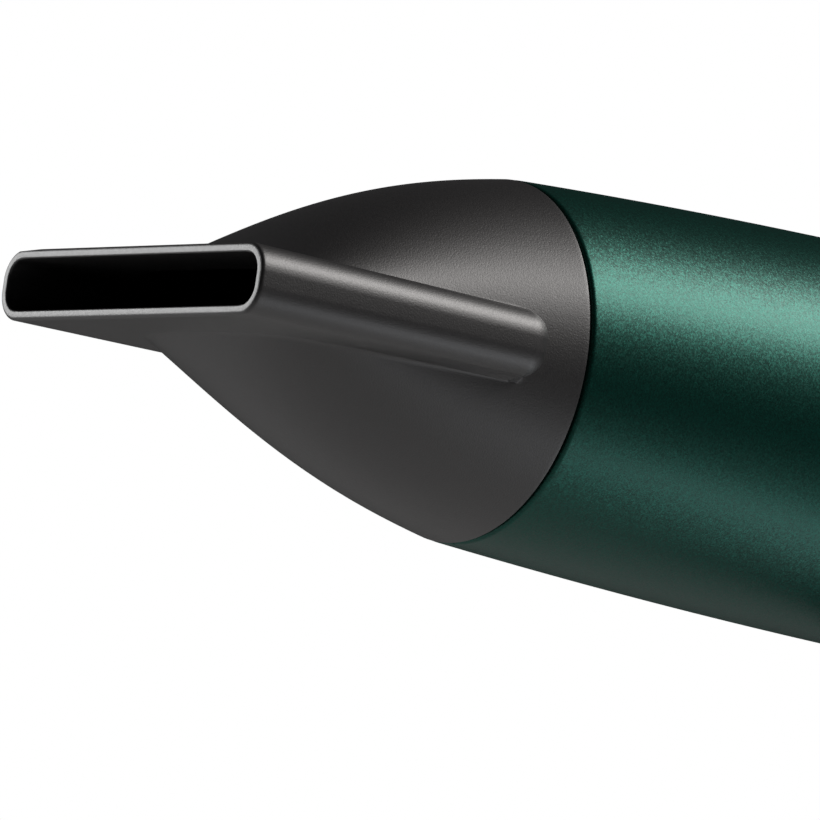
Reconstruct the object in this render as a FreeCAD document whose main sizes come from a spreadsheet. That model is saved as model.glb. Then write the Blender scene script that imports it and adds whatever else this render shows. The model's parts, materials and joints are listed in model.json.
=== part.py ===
"""Hair dryer with a flat, wide concentrator nozzle, as a parametric FreeCAD document in millimetres.

Frame: the origin is the middle of the hand grip, on the handle's centre line. +Z is up, towards the
barrel, the nozzle points along -Y and +X is the right-hand side seen from behind the dryer.

Two working frames are used. The barrel frame has its origin on the barrel's axis, in the plane of the
housing's front edge, with +Y along the axis towards the rear. The handle frame has its origin at the
hand grip and is tilted about X by the handle's lean, so that its +Z runs up the handle.
"""

import FreeCAD
import Part

import math
import os
import re

import Sketcher

DIMENSIONS = (
    # housing
    ("seam_radius", 34.0, "outer radius of the barrel at its front edge"),
    ("barrel_mid_radius", 37.0, "outer radius of the barrel half way along"),
    ("barrel_rear_radius", 36.9, "outer radius of the barrel at its rear edge"),
    ("barrel_length", 150.0, "front edge to rear edge of the housing"),
    ("housing_wall", 2.2, "wall of the barrel and handle"),
    ("lip_round", 0.9, "rounding of the barrel's front edge"),
    ("slide_fit", 0.1, "gap of parts that slide or turn in each other"),
    ("seat_fit", 0.15, "gap of parts that seat in each other"),
    ("rib_width", 2.0, "locating ribs inside the housing"),
    # handle
    ("handle_setback", 38.0, "rear edge to where the handle's line meets the barrel's axis"),
    ("handle_lean", 8.0, "lean of the handle, foot towards the rear, degrees"),
    ("grip_depth", 100.0, "barrel axis to the middle of the grip, along the handle"),
    ("handle_drop", 66.0, "middle of the grip to the lower edge of the housing"),
    ("grip_half_width", 16.0, "handle across, at the grip"),
    ("grip_half_depth", 19.2, "handle front to back, at the grip"),
    ("foot_flare", 1.0, "how much wider the handle's foot is each side"),
    ("neck_flare", 5.5, "how much wider the handle is where it meets the barrel"),
    ("neck_length", 54.0, "barrel axis to where the handle starts to widen"),
    # nozzle
    ("rim_gap", 0.6, "gap between nozzle and housing"),
    ("nozzle_wall", 1.8, "wall of the nozzle"),
    ("dome_length", 66.0, "front edge of the housing to the tip of the nozzle's dome"),
    ("dome_tip_half_height", 5.0, "dome's half height at its tip"),
    ("dome_tip_half_width", 27.2, "dome's half width at its tip"),
    ("dome_straight", 0.42, "share of the dome's drop that is even along it, the rest comes late"),
    ("dome_power", 2.4, "how late the rest of the dome's drop comes"),
    ("dome_narrowing", 1.6, "slope of the dome's narrowing at its rear edge, against an even one"),
    ("slot_station", 79.0, "front edge of the housing to the mouth of the slot"),
    ("slot_half_width", 40.6, "outside of the flat duct at its mouth, half"),
    ("slot_half_height", 6.6, "outside of the flat duct at its mouth, half"),
    ("duct_root_half_width", 39.2, "outside of the flat duct at its rear end, half"),
    ("duct_root_half_height", 6.3, "outside of the flat duct at its rear end, half"),
    ("duct_root_station", 11.2, "front edge of the housing to the flat duct's rear end"),
    ("duct_corner", 5.8, "corner radius of the flat duct's section"),
    ("duct_nose_round", 4.6, "rounding of the flat duct's rear end"),
    ("web_station", 3.0, "front edge of the housing to the bearing web inside the nozzle"),
    ("web_width", 2.0, "bearing web inside the nozzle"),
    # collar that carries the nozzle
    ("outlet_inset", 8.5, "barrel's front radius less the outlet's bore"),
    ("collar_wall", 1.4, "wall of the collar"),
    ("collar_insertion", 9.5, "how far the collar goes into the dryer"),
    ("flange_height", 2.9, "collar's flanges beyond the outlet's bore"),
    ("flange_width", 2.0, "collar's front flange"),
    ("web_play", 0.3, "gap each side of the nozzle's web"),
    # front of the barrel
    ("ring_inset", 1.2, "outlet ring's face behind the housing's front edge"),
    ("ring_depth", 11.8, "outlet ring along the axis"),
    ("skirt_depth", 9.0, "skirt of the outlet ring that holds the heater tube"),
    ("skirt_wall", 1.4, "wall of that skirt"),
    ("grille_depth", 2.0, "outlet grille along the axis"),
    ("grille_bar", 1.0, "bars of the grilles inside the barrel"),
    ("emitter_hole", 0.9, "radius of the hole for the ion needle"),
    # heater
    ("tube_inset", 5.9, "barrel's front radius less the mica tube's radius"),
    ("tube_wall", 0.6, "mica tube"),
    ("tube_overlap", 6.0, "how far the mica tube goes into the fan duct"),
    ("mica_sheet", 1.0, "thickness of the mica boards"),
    ("board_margin", 2.0, "ends of the mica tube to the ends of the mica boards"),
    ("board_end", 4.0, "full-height ends of the mica boards"),
    ("winding_inset", 5.5, "mica tube's radius less the heater winding's"),
    ("winding_margin", 11.0, "ends of the mica tube to the heater winding"),
    ("winding_turns", 8, "heater winding"),
    ("wire_radius", 0.4, "heater wire"),
    ("safety_lead", 8.0, "middle of the mica tube to the safety devices"),
    ("cutout_side", 5.0, "thermal cutout from the centre plane"),
    ("cutout_width", 9.0, "thermal cutout's case, across"),
    ("cutout_length", 13.0, "thermal cutout's case, along the axis"),
    ("cutout_height", 3.6, "thermal cutout's case above its board"),
    ("disc_height", 1.2, "thermal cutout's disc above its case"),
    ("fuse_side", 9.0, "thermal fuse from the centre plane"),
    ("fuse_radius", 1.7, "thermal fuse"),
    ("fuse_length", 11.0, "thermal fuse"),
    # fan duct and motor
    ("duct_inset", 5.9, "barrel's rear radius less the fan duct's radius"),
    ("duct_wall", 1.4, "fan duct"),
    ("duct_lead", 11.0, "fan duct ahead of the motor's cup"),
    ("cup_wall", 1.6, "wall and floor of the motor's cup"),
    ("cup_cover", 24.0, "how much of the motor its cup covers"),
    ("vane_count", 9, "stator vanes"),
    ("vane_sheet", 1.3, "thickness of a stator vane"),
    ("vane_length", 16.0, "stator vane along the axis"),
    ("motor_radius", 14.1, "motor can, outer radius"),
    ("motor_length", 32.0, "motor can with its end cap"),
    ("end_cap_depth", 2.2, "motor's end cap"),
    ("can_wall", 0.9, "wall of the motor can"),
    ("magnet_depth", 2.1, "magnets, radial thickness"),
    ("air_gap", 0.6, "between magnets and armature"),
    ("core_length", 15.0, "armature laminations"),
    ("core_station", 8.0, "motor's end cap to the laminations"),
    ("end_turn", 2.4, "windings beyond each end of the laminations"),
    ("pole_slot", 3.6, "slots in the laminations, across"),
    ("shaft_radius", 1.15, "motor shaft"),
    ("bush_radius", 3.0, "motor bushes, outer radius"),
    ("bush_length", 4.2, "motor bushes"),
    ("shaft_play", 0.05, "running gap of the shaft in its bushes"),
    ("commutator_radius", 4.0, "commutator"),
    ("commutator_length", 4.2, "commutator"),
    ("brush_play", 0.05, "between brushes and commutator"),
    ("brush_reach", 3.4, "carbon of a brush, along its line"),
    ("brush_length", 2.8, "carbon of a brush, along the motor"),
    ("brush_width", 2.6, "carbon of a brush, across"),
    ("brush_arm", 0.6, "spring arm behind a brush"),
    ("brush_setback", 1.6, "motor's end cap to a brush"),
    ("pole_count", 5, "slots in the laminations"),
    ("winding_inset_core", 0.9, "laminations' radius less the windings'"),
    ("end_turn_wall", 1.4, "shaft to the end turns"),
    ("fan_gap", 2.5, "motor to fan hub"),
    ("fan_length", 11.5, "fan hub"),
    ("fan_hub_radius", 12.5, "fan hub"),
    ("fan_wall", 1.5, "wall of the fan hub"),
    ("fan_boss", 2.4, "wall of the fan's boss on the shaft"),
    ("fan_nose", 3.0, "rounding of the fan hub's rear edge"),
    ("fan_clearance", 1.6, "blade tips to the fan duct"),
    ("blade_count", 7, "fan blades"),
    ("blade_chord", 13.0, "fan blade"),
    ("blade_sheet", 1.3, "fan blade"),
    ("root_pitch", 35.0, "fan blade to the axis at the hub, degrees"),
    ("tip_pitch", 62.0, "fan blade to the axis at the tip, degrees"),
    ("fan_tail", 6.0, "fan hub to the rear end of the fan duct"),
    # rear
    ("bezel_flange", 3.0, "rear bezel behind the housing's rear edge"),
    ("bezel_spigot", 6.0, "rear bezel inside the housing"),
    ("bezel_lip", 2.0, "lip inside the rear bezel, along the axis"),
    ("bezel_inset", 4.8, "barrel's rear radius less the bezel's bore"),
    ("seal_depth", 2.0, "rubber seal behind the fan duct"),
    ("guard_depth", 1.2, "finger guard"),
    ("cap_length", 21.5, "rear grille behind the bezel"),
    ("cap_gap", 0.2, "rear grille to the bezel's flange"),
    ("cap_shoulder", 12.0, "rear grille, front edge to shoulder"),
    ("cap_shoulder_inset", 3.5, "barrel's rear radius less the shoulder's"),
    ("cap_edge_radius", 24.0, "rear grille where its flat end starts"),
    ("cap_end_depth", 2.0, "crown of the rear grille's flat end"),
    ("cap_wall", 2.0, "rear grille"),
    ("cap_skirt", 1.7, "thickness and play of the rear grille's skirt in the bezel"),
    ("intake_slot", 1.8, "slots of the rear grille, across"),
    ("inner_slots", 20, "slots in the rear grille's end"),
    ("outer_slots", 36, "slots in the rear grille's shoulder"),
    ("filter_sheet", 0.5, "filter mesh"),
    # ioniser
    ("ioniser_half_width", 6.0, "ioniser module, half"),
    ("ioniser_height", 3.9, "ioniser module"),
    ("ioniser_length", 26.0, "ioniser module"),
    ("ioniser_station", 40.0, "front edge of the housing to the ioniser module"),
    ("needle_radius", 0.5, "ion needle"),
    # controls
    ("plate_half_width", 7.5, "switch plate"),
    ("plate_low", -2.0, "lower end of the switch plate, up the handle"),
    ("plate_high", 46.0, "upper end of the switch plate"),
    ("plate_proud", 0.5, "switch plate above the handle's surface"),
    ("plate_lip", 1.2, "lip of the switch plate inside the housing"),
    ("lip_reach", 1.5, "lip beyond the edges of the switch plate"),
    ("speed_place", 6.0, "speed slider, up the handle"),
    ("heat_place", 28.0, "heat slider, up the handle"),
    ("slider_travel", 8.0, "stroke of a slider"),
    ("slider_gap", 0.4, "gaps round a slider"),
    ("stem_half_length", 2.5, "slider stem along the handle, half"),
    ("stem_half_width", 2.2, "slider stem across, half"),
    ("slider_half", 4.2, "slider cap, across and along, half"),
    ("slider_height", 3.2, "slider cap above the plate"),
    ("slider_ridges", 4, "grip ridges on a slider"),
    ("ridge_height", 1.0, "grip ridges on a slider"),
    ("tang_half", 1.0, "tang of a slider in its switch, half"),
    ("switch_margin", 3.0, "slide switch beyond the slider's stroke"),
    ("button_radius", 6.0, "cool-shot button"),
    ("button_place", 30.0, "cool-shot button, up the handle"),
    ("button_proud", 2.2, "cool-shot button outside the handle"),
    ("button_travel", 2.5, "stroke of the cool-shot button"),
    ("button_gap", 0.25, "gap round the cool-shot button"),
    ("button_flange", 1.2, "flange that keeps the button in"),
    ("flange_reach", 1.0, "that flange beyond the button"),
    ("button_crown", 0.6, "crown of the button's face"),
    ("switch_half_length", 6.0, "cool-shot switch, up the handle, half"),
    ("spring_room", 6.5, "length of the button's spring at rest"),
    ("spring_radius", 3.4, "centre line of the button's spring"),
    ("spring_wire", 0.3, "radius of the button's spring wire"),
    ("spring_turns", 5, "button's spring"),
    ("board_face", 2.0, "control board's front face ahead of the handle's centre"),
    ("board_low", -4.0, "control board, lower edge"),
    ("board_high", 46.0, "control board, upper edge"),
    ("board_half_width", 9.0, "control board"),
    ("board_sheet", 1.6, "control board"),
    ("part_margin", 1.0, "least room between parts on the board"),
    ("capacitor_width", 9.0, "capacitor"),
    ("capacitor_depth", 6.0, "capacitor, off the board"),
    ("capacitor_length", 12.0, "capacitor, up the handle"),
    ("varistor_radius", 4.0, "varistor"),
    ("varistor_depth", 3.0, "varistor, off the board"),
    ("diode_radius", 1.3, "diodes"),
    ("diode_length", 5.2, "diodes"),
    ("switch_top", 7.2, "handle's surface to the top of a slide switch"),
    ("switch_half_width", 5.0, "slide switch"),
    # handle fixings and foot
    ("boss_radius", 4.2, "screw bosses"),
    ("screw_radius", 1.4, "housing screws"),
    ("screw_head", 2.9, "housing screws, radius of the head"),
    ("head_height", 1.8, "housing screws, head"),
    ("screw_seat", 9.0, "centre plane to the seat of a screw head"),
    ("screw_bite", 8.0, "centre plane to a screw's tip"),
    ("screw_below_axis", 46.0, "barrel axis to the upper screw"),
    ("screw_middle", -15.0, "middle screw, up the handle"),
    ("screw_low", -53.0, "lower screw, up the handle"),
    ("screw_low_back", 10.0, "lower screw, towards the rear"),
    ("clamp_place", -52.0, "lower edge of the cord clamp, up the handle"),
    ("clamp_length", 7.0, "cord clamp along the handle"),
    ("clamp_half_width", 9.0, "cord clamp"),
    ("clamp_depth", 5.0, "cord clamp, front to back"),
    ("clamp_grip", 0.5, "how far the clamp's saddle is closed in on the cord"),
    ("clamp_screw", 1.2, "cord clamp screws, radius"),
    ("clamp_bite", 8.0, "cord clamp screws ahead of the clamp"),
    ("clamp_head", 2.2, "cord clamp screws, radius of the head"),
    ("clamp_head_height", 1.4, "cord clamp screws, head"),
    ("clamp_screw_place", 6.2, "cord clamp screws from the centre plane"),
    ("cap_thickness", 5.0, "foot cap below the housing"),
    ("foot_spigot", 5.0, "foot cap inside the handle"),
    ("spigot_fit", 0.4, "gap round the foot cap's spigot"),
    ("cap_rim", 1.8, "wall of the foot cap's spigot"),
    ("cord_bore", 3.6, "bore of the cord bushing"),
    ("cord_place", -7.0, "cord bushing, front to back"),
    ("bushing_wall", 2.3, "cord bushing"),
    ("bushing_below", 3.0, "cord bushing below the foot cap"),
    ("bushing_above", 5.0, "cord bushing above the foot cap"),
    ("bushing_flange", 1.6, "flange of the cord bushing"),
    ("eye_radius", 7.5, "hole of the hanging eye"),
    ("eye_wall", 3.0, "hanging eye"),
    ("eye_thickness", 4.4, "hanging eye"),
    ("eye_place", 10.0, "hanging eye, front to back"),
    ("eye_stem_half", 3.0, "hanging eye's stem, front to back, half"),
    ("eye_hook", 2.5, "head that holds the hanging eye's stem, each way"),
    ("eye_gap", 0.5, "hanging eye below the foot cap"),
)

# The barrel frame seen from the handle's grip.
HANDLE_STATION = "(barrel_length - handle_setback)"
BARREL_Y = f"(-({HANDLE_STATION} + grip_depth*sin(handle_lean)))"
BARREL_Z = "(grip_depth*cos(handle_lean))"

# Radii that follow from the barrel.
OUTLET_BORE = "(seam_radius - outlet_inset)"
TUBE_RADIUS = "(seam_radius - tube_inset)"
DUCT_RADIUS = "(barrel_rear_radius - duct_inset)"
FAN_RADIUS = f"({DUCT_RADIUS} - duct_wall - fan_clearance)"
BEZEL_BORE = "(barrel_rear_radius - bezel_inset)"
EMITTER_HEIGHT = f"({TUBE_RADIUS} + slide_fit + skirt_wall + emitter_hole + slide_fit)"

# Stations along the barrel, from the housing's front edge.
RING_REAR = "(ring_inset + ring_depth)"
TUBE_START = f"({RING_REAR} + grille_depth)"
DUCT_END = "(barrel_length - bezel_lip - seal_depth)"
FAN_START = f"({DUCT_END} - fan_tail - fan_length)"
MOTOR_END = f"({FAN_START} - fan_gap)"
MOTOR_START = f"({MOTOR_END} - motor_length)"
CUP_START = f"({MOTOR_START} - cup_wall)"
DUCT_START = f"({CUP_START} - duct_lead)"
TUBE_END = f"({DUCT_START} + tube_overlap)"
CAN_START = f"({MOTOR_START} + end_cap_depth)"
CORE_START = f"({CAN_START} + core_station)"
CORE_END = f"({CORE_START} + core_length)"
BEZEL_END = "(barrel_length + bezel_flange)"
CAP_START = f"({BEZEL_END} + cap_gap)"
CAP_END = f"({CAP_START} + cap_length)"

# Places inside the handle, from the handle's centre line.
PLATE_TOP = "(grip_half_depth + plate_proud)"
SWITCH_TOP = "(grip_half_depth - switch_top)"
BOARD_REAR = "(board_sheet - board_face)"
INNER_DEPTH = "(grip_half_depth - housing_wall)"
INNER_WIDTH = "(grip_half_width - housing_wall)"
LIP_DEPTH = "(grip_half_depth - housing_wall - plate_lip - slide_fit)"
LIP_WIDTH = "(grip_half_width - housing_wall - plate_lip - slide_fit)"
PLATE_UNDER = f"({LIP_DEPTH}*sqrt(1 - (0.9*slider_half/{LIP_WIDTH})^2))"
BUTTON_STOP = f"(2*button_gap - {INNER_DEPTH}*sqrt(1 - ((button_radius + flange_reach)/{INNER_WIDTH})^2))"
SCREW_LENGTH = "(screw_bite + screw_seat)"
FOOT = "(-handle_drop)"
FOOT_BELOW = "(-(handle_drop + cap_thickness))"
EYE_CENTRE = f"({FOOT_BELOW} - eye_gap - eye_radius - eye_wall)"

HERE = ("0", "0", "0")
X_AXIS = FreeCAD.Vector(1, 0, 0)
Y_AXIS = FreeCAD.Vector(0, 1, 0)
ROUND = "0.29289"  # share of its radius that a quarter round's middle stands in from the corner
DOME_SECTIONS = 9

doc = FreeCAD.newDocument("hair_dryer")
dims = doc.addObject("Spreadsheet::Sheet", "dims")
for row, (alias, value, note) in enumerate(DIMENSIONS, start=1):
    dims.set(f"A{row}", note)
    dims.set(f"B{row}", str(value))
    dims.setAlias(f"B{row}", alias)
doc.recompute()
ALIASES = {alias for alias, _value, _note in DIMENSIONS}
nodes = []


# ---------------------------------------------------------------- working tools


def with_sheet(formula):
    """The formula with each alias written as a cell of the sheet."""
    return re.sub(r"[A-Za-z_]\w*", lambda m: f"dims.{m[0]}" if m[0] in ALIASES else m[0], formula)


def number(formula):
    """What a formula comes to."""
    found = dims.evalExpression(with_sheet(formula))
    return float(getattr(found, "Value", found))


def bind(thing, **formulas):
    """Binds properties to formulas. A double underscore in a keyword is a dot of the property's path."""
    for path, formula in formulas.items():
        thing.setExpression(path.replace("__", "."), with_sheet(formula))


def locate(thing, frame, at=HERE, turn=0, across=False):
    """Places a thing in the barrel or handle frame, turned about X, or along X if across."""
    x, y, z = at
    if frame == "barrel":
        base = (x, f"{BARREL_Y} + ({y})", f"{BARREL_Z} + ({z})")
        angle = f"{turn}"
    else:
        base = (
            x,
            f"({y})*cos(handle_lean) - ({z})*sin(handle_lean)",
            f"({y})*sin(handle_lean) + ({z})*cos(handle_lean)",
        )
        angle = f"handle_lean + ({turn})"
    if across:
        angle = "90"
    thing.Placement = FreeCAD.Placement(FreeCAD.Vector(), FreeCAD.Rotation(Y_AXIS if across else X_AXIS, 1))
    bind(thing, Placement__Base__x=base[0], Placement__Base__y=base[1], Placement__Base__z=base[2])
    bind(thing, Placement__Rotation__Angle=angle)
    return thing


def cylinder(name, radius, length, frame, at, along):
    """A cylinder that starts at a point and runs along x, y, -y or z of its frame."""
    thing = doc.addObject("Part::Cylinder", name)
    bind(thing, Radius=radius, Height=length)
    return locate(thing, frame, at, {"z": 0, "y": -90, "-y": 90, "x": 0}[along], along == "x")


def box(name, size, frame, at):
    """A box from its low corner."""
    thing = doc.addObject("Part::Box", name)
    bind(thing, Length=size[0], Width=size[1], Height=size[2])
    return locate(thing, frame, at)


def centred_box(name, half_x, low_y, high_y, low_z, high_z):
    """A box in the handle frame, even about the centre plane."""
    size = (f"2*({half_x})", f"({high_y}) - ({low_y})", f"({high_z}) - ({low_z})")
    return box(name, size, "handle", (f"-({half_x})", low_y, low_z))


def fuse(name, *shapes):
    """One solid from several."""
    thing = doc.addObject("Part::MultiFuse", name)
    thing.Shapes = list(shapes)
    return thing


def group(name, *shapes):
    """Several separate solids as one sub-part."""
    thing = doc.addObject("Part::Compound", name)
    thing.Links = list(shapes)
    return thing


def cut(name, base, *tools):
    """The base without the tools."""
    thing = doc.addObject("Part::Cut", name)
    thing.Base = base
    thing.Tool = tools[0] if len(tools) == 1 else fuse(f"{name}_tools", *tools)
    return thing


def common(name, *shapes):
    """What the shapes share."""
    thing = doc.addObject("Part::MultiCommon", name)
    thing.Shapes = list(shapes)
    return thing


def keep(thing, label):
    """Marks a finished sub-part, whose label names its file."""
    thing.Label = label
    nodes.append(thing)
    return thing


def new_body(name, frame):
    """A PartDesign body in the barrel or handle frame."""
    return locate(doc.addObject("PartDesign::Body", name), frame)


def origin_part(body, role):
    """One of the planes or axes of a body's own origin."""
    return next(part for part in body.Origin.OriginFeatures if part.Role == role)


def new_sketch(body, name, plane="YZ_Plane", lift="0"):
    """A sketch on one of the body's origin planes, lifted along the plane's normal."""
    sketch = body.newObject("Sketcher::SketchObject", name)
    sketch.AttachmentSupport = [(origin_part(body, plane), "")]
    sketch.MapMode = "FlatFace"
    bind(sketch, AttachmentOffset__Base__z=lift)
    return sketch


def pin_point(sketch, geometry, end, x, y):
    """Fixes a point of a sketch at two formulas from its origin."""
    for kind, formula in (("DistanceX", x), ("DistanceY", y)):
        index = sketch.addConstraint(Sketcher.Constraint(kind, -1, 1, geometry, end, number(formula)))
        sketch.setExpression(f"Constraints[{index}]", with_sheet(formula))


def outline(sketch, corners):
    """A closed outline. A corner is (x, y), or (x, y, (x, y)) where an arc through that point follows."""
    points = [FreeCAD.Vector(number(c[0]), number(c[1]), 0) for c in corners]
    pieces = []
    for i, corner in enumerate(corners):
        start, end = points[i], points[(i + 1) % len(corners)]
        if len(corner) == 2:
            pieces.append((sketch.addGeometry(Part.LineSegment(start, end)), 1, 2))
            continue
        middle = FreeCAD.Vector(number(corner[2][0]), number(corner[2][1]), 0)
        turns_left = (middle - start).cross(end - middle).z > 0
        ends = (start, end) if turns_left else (end, start)
        arc = sketch.addGeometry(Part.Arc(ends[0], middle, ends[1]))
        pieces.append((arc, 1, 2) if turns_left else (arc, 2, 1))
        through = sketch.addGeometry(Part.Point(middle), True)
        pin_point(sketch, through, 1, *corner[2])
        sketch.addConstraint(Sketcher.Constraint("PointOnObject", through, 1, arc))
    for i, (piece, start, _end) in enumerate(pieces):
        before, _start, end = pieces[i - 1]
        sketch.addConstraint(Sketcher.Constraint("Coincident", before, end, piece, start))
        pin_point(sketch, piece, start, corners[i][0], corners[i][1])


def oval(sketch, half_x, half_y):
    """An ellipse about a sketch's origin, from its half sizes."""
    a, b = number(half_x), number(half_y)
    tall = b > a
    across, up = FreeCAD.Vector(a, 0, 0), FreeCAD.Vector(0, b, 0)
    long_axis, short_axis = (up, across) if tall else (across, up)
    made = sketch.addGeometry(Part.Ellipse(long_axis, short_axis, FreeCAD.Vector()))
    sketch.exposeInternalGeometry(made)
    sketch.addConstraint(Sketcher.Constraint("Coincident", made, 3, -1, 1))
    sketch.addConstraint(Sketcher.Constraint("Vertical" if tall else "Horizontal", made + 1))
    for line, formula in ((made + 1, half_y if tall else half_x), (made + 2, half_x if tall else half_y)):
        index = sketch.addConstraint(Sketcher.Constraint("Distance", line, 2 * number(formula)))
        sketch.setExpression(f"Constraints[{index}]", with_sheet(f"2*({formula})"))


def rounded_slot(sketch, half_width, half_height, corner):
    """A rectangle with round corners about a sketch's origin."""
    w, h, r = f"({half_width})", f"({half_height})", f"({corner})"
    in_w, in_h = f"{w} - {r}", f"{h} - {r}"
    mid_w, mid_h = f"{w} - {ROUND}*{r}", f"{h} - {ROUND}*{r}"
    outline(
        sketch,
        [
            (f"-({in_w})", f"-{h}"),
            (in_w, f"-{h}", (mid_w, f"-({mid_h})")),
            (w, f"-({in_h})"),
            (w, in_h, (mid_w, mid_h)),
            (in_w, h),
            (f"-({in_w})", h, (f"-({mid_w})", mid_h)),
            (f"-{w}", in_h),
            (f"-{w}", f"-({in_h})", (f"-({mid_w})", f"-({mid_h})")),
        ],
    )


def revolve(body, name, corners):
    """Turns an outline drawn as (along the axis, radius)."""
    sketch = new_sketch(body, f"{name}_outline")
    outline(sketch, corners)
    feature = body.newObject("PartDesign::Revolution", name)
    feature.Profile = sketch
    feature.ReferenceAxis = (sketch, ["H_Axis"])
    feature.Angle = 360
    return feature


def turned(name, frame, corners):
    """A body made by one revolution."""
    body = new_body(name, frame)
    revolve(body, f"{name}_turned", corners)
    return body


def tube(name, start, end, inner, outer):
    """A plain tube on the barrel's axis."""
    return turned(name, "barrel", [(start, inner), (start, outer), (end, outer), (end, inner)])


def loft(body, name, sketches, ruled=False):
    """A loft through sketches."""
    feature = body.newObject("PartDesign::AdditiveLoft", name)
    feature.Profile = sketches[0]
    feature.Sections = sketches[1:]
    feature.Ruled = ruled
    return feature


def pad(body, name, sketch, length, backwards=False):
    """A pad of a sketch."""
    feature = body.newObject("PartDesign::Pad", name)
    feature.Profile = sketch
    bind(feature, Length=length)
    feature.Reversed = backwards
    return feature


def pocket_through(body, name, sketch, length, both=True):
    """A pocket, to both sides of its sketch unless told otherwise."""
    feature = body.newObject("PartDesign::Pocket", name)
    feature.Profile = sketch
    feature.Midplane = both
    bind(feature, Length=length)
    return feature


def around(body, name, feature, count):
    """Repeats a feature about the barrel's axis."""
    pattern = body.newObject("PartDesign::PolarPattern", name)
    pattern.Originals = [feature]
    pattern.Axis = (origin_part(body, "Y_Axis"), [""])
    pattern.Angle = 360
    bind(pattern, Occurrences=count)
    body.Tip = pattern
    return pattern


def rounded(body, name, radius, wanted):
    """Rounds the edges of a body's tip that a test picks by their middle point, in the body's frame."""
    doc.recompute()
    base = body.Tip
    picked = []
    for i, edge in enumerate(base.Shape.Edges, start=1):
        middle = edge.valueAt((edge.FirstParameter + edge.LastParameter) / 2)
        if wanted(middle, edge):
            picked.append(f"Edge{i}")
    feature = body.newObject("PartDesign::Fillet", name)
    feature.Base = (base, picked)
    bind(feature, Radius=radius)
    return feature


# ---------------------------------------------------------------- nozzle


def dome(name, inset, first, last):
    """The nozzle's dome, from a circle at the housing to a flat oval, taken in by a wall's thickness."""
    body = new_body(name, "barrel")
    sections = []
    for i in range(DOME_SECTIONS):
        station = f"({first} + ({last} - {first})*{i}/{DOME_SECTIONS - 1})"
        share = f"({station}/dome_length)"
        curve = f"dome_straight*{share} + (1 - dome_straight)*{share}^dome_power"
        drop = f"(seam_radius - dome_tip_half_height)*({curve})"
        curve = f"dome_narrowing*{share} - (dome_narrowing - 1)*{share}^2"
        narrowing = f"(seam_radius - dome_tip_half_width)*({curve})"
        section = new_sketch(body, f"{name}_section_{i}", "XZ_Plane", station)
        oval(section, f"seam_radius - {inset} - {narrowing} + 0.01", f"seam_radius - {inset} - {drop}")
        sections.append(section)
    loft(body, f"{name}_loft", sections)
    return body


def flat_duct(name, inset, first, last, nose):
    """The nozzle's flat duct, with a round rear end, taken in by a wall's thickness."""
    body = new_body(name, "barrel")
    root = new_sketch(body, f"{name}_root", "XZ_Plane", first)
    rounded_slot(
        root,
        f"duct_root_half_width - {inset}",
        f"duct_root_half_height - {inset}",
        f"duct_corner - {inset}",
    )
    mouth = new_sketch(body, f"{name}_mouth", "XZ_Plane", last)
    rounded_slot(
        mouth,
        f"slot_half_width - {inset}",
        f"slot_half_height - {inset}",
        f"duct_corner - {inset}",
    )
    loft(body, f"{name}_loft", [root, mouth], ruled=True)
    root_y = -number(first)
    rounded(body, f"{name}_nose", nose, lambda middle, edge: abs(middle.y - root_y) < 0.01)
    return body


def make_nozzle():
    """The concentrator: one moulding, a dome with a wide flat duct through it, and a web to turn on."""
    outside = fuse(
        "nozzle_outside",
        dome("dome_outer", "0", "rim_gap", "dome_length"),
        flat_duct("duct_outer", "0", "duct_root_station", "slot_station", "duct_nose_round"),
    )
    inside = fuse(
        "nozzle_inside",
        dome("dome_inner", "nozzle_wall", "0", "(dome_length - nozzle_wall)"),
        flat_duct(
            "duct_inner",
            "nozzle_wall",
            "(duct_root_station + nozzle_wall)",
            "(slot_station + nozzle_wall)",
            "duct_nose_round - nozzle_wall",
        ),
    )
    web = tube(
        "nozzle_web",
        "-(web_station + web_width)",
        "-web_station",
        OUTLET_BORE,
        "seam_radius - 0.8*nozzle_wall",
    )
    keep(fuse("nozzle_moulding", cut("nozzle_skin", outside, inside), web), "nozzle_shell")


def make_collar():
    """The collar that plugs into the dryer's outlet and on which the nozzle turns."""
    outer = f"{OUTLET_BORE} - slide_fit"
    inner = f"{outer} - collar_wall"
    flange = f"{OUTLET_BORE} + flange_height"
    web_front = "-(web_station + web_width + web_play)"
    web_rear = "-(web_station - web_play)"
    collar = turned(
        "nozzle_collar",
        "barrel",
        [
            (f"{web_front} - flange_width", inner),
            (f"{web_front} - flange_width", flange),
            (web_front, flange),
            (web_front, outer),
            (web_rear, outer),
            (web_rear, flange),
            ("-rim_gap", flange),
            ("-rim_gap", outer),
            ("collar_insertion", outer),
            ("collar_insertion", inner),
        ],
    )
    keep(collar, "nozzle_collar")


# ---------------------------------------------------------------- front of the barrel


def round_grille(name, front, depth, rim_inner, rim_outer, spoke_count):
    """A grille of spokes and rings in a rim."""
    rear = f"({front} + {depth})"
    rings = [tube(f"{name}_rim", front, rear, rim_inner, rim_outer)]
    for i, share in enumerate(("0.24", "0.46", "0.68", "0.86")):
        inner = f"{share}*({rim_inner})"
        rings.append(tube(f"{name}_ring_{i}", front, rear, inner, f"{inner} + grille_bar"))
    hub = cylinder(f"{name}_hub", f"0.12*({rim_inner})", depth, "barrel", ("0", front, "0"), "y")
    body = new_body(f"{name}_spokes", "barrel")
    sketch = new_sketch(body, f"{name}_spoke_outline", "XZ_Plane", f"-{rear}")
    foot = f"0.06*({rim_inner})"
    tip = f"0.5*({rim_inner} + {rim_outer})"
    half = "grille_bar/2"
    outline(sketch, [(f"-{half}", foot), (half, foot), (half, tip), (f"-{half}", tip)])
    around(body, f"{name}_spokes_around", pad(body, f"{name}_spoke", sketch, depth), spoke_count)
    return fuse(f"{name}_joined", hub, body, *rings)


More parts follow.
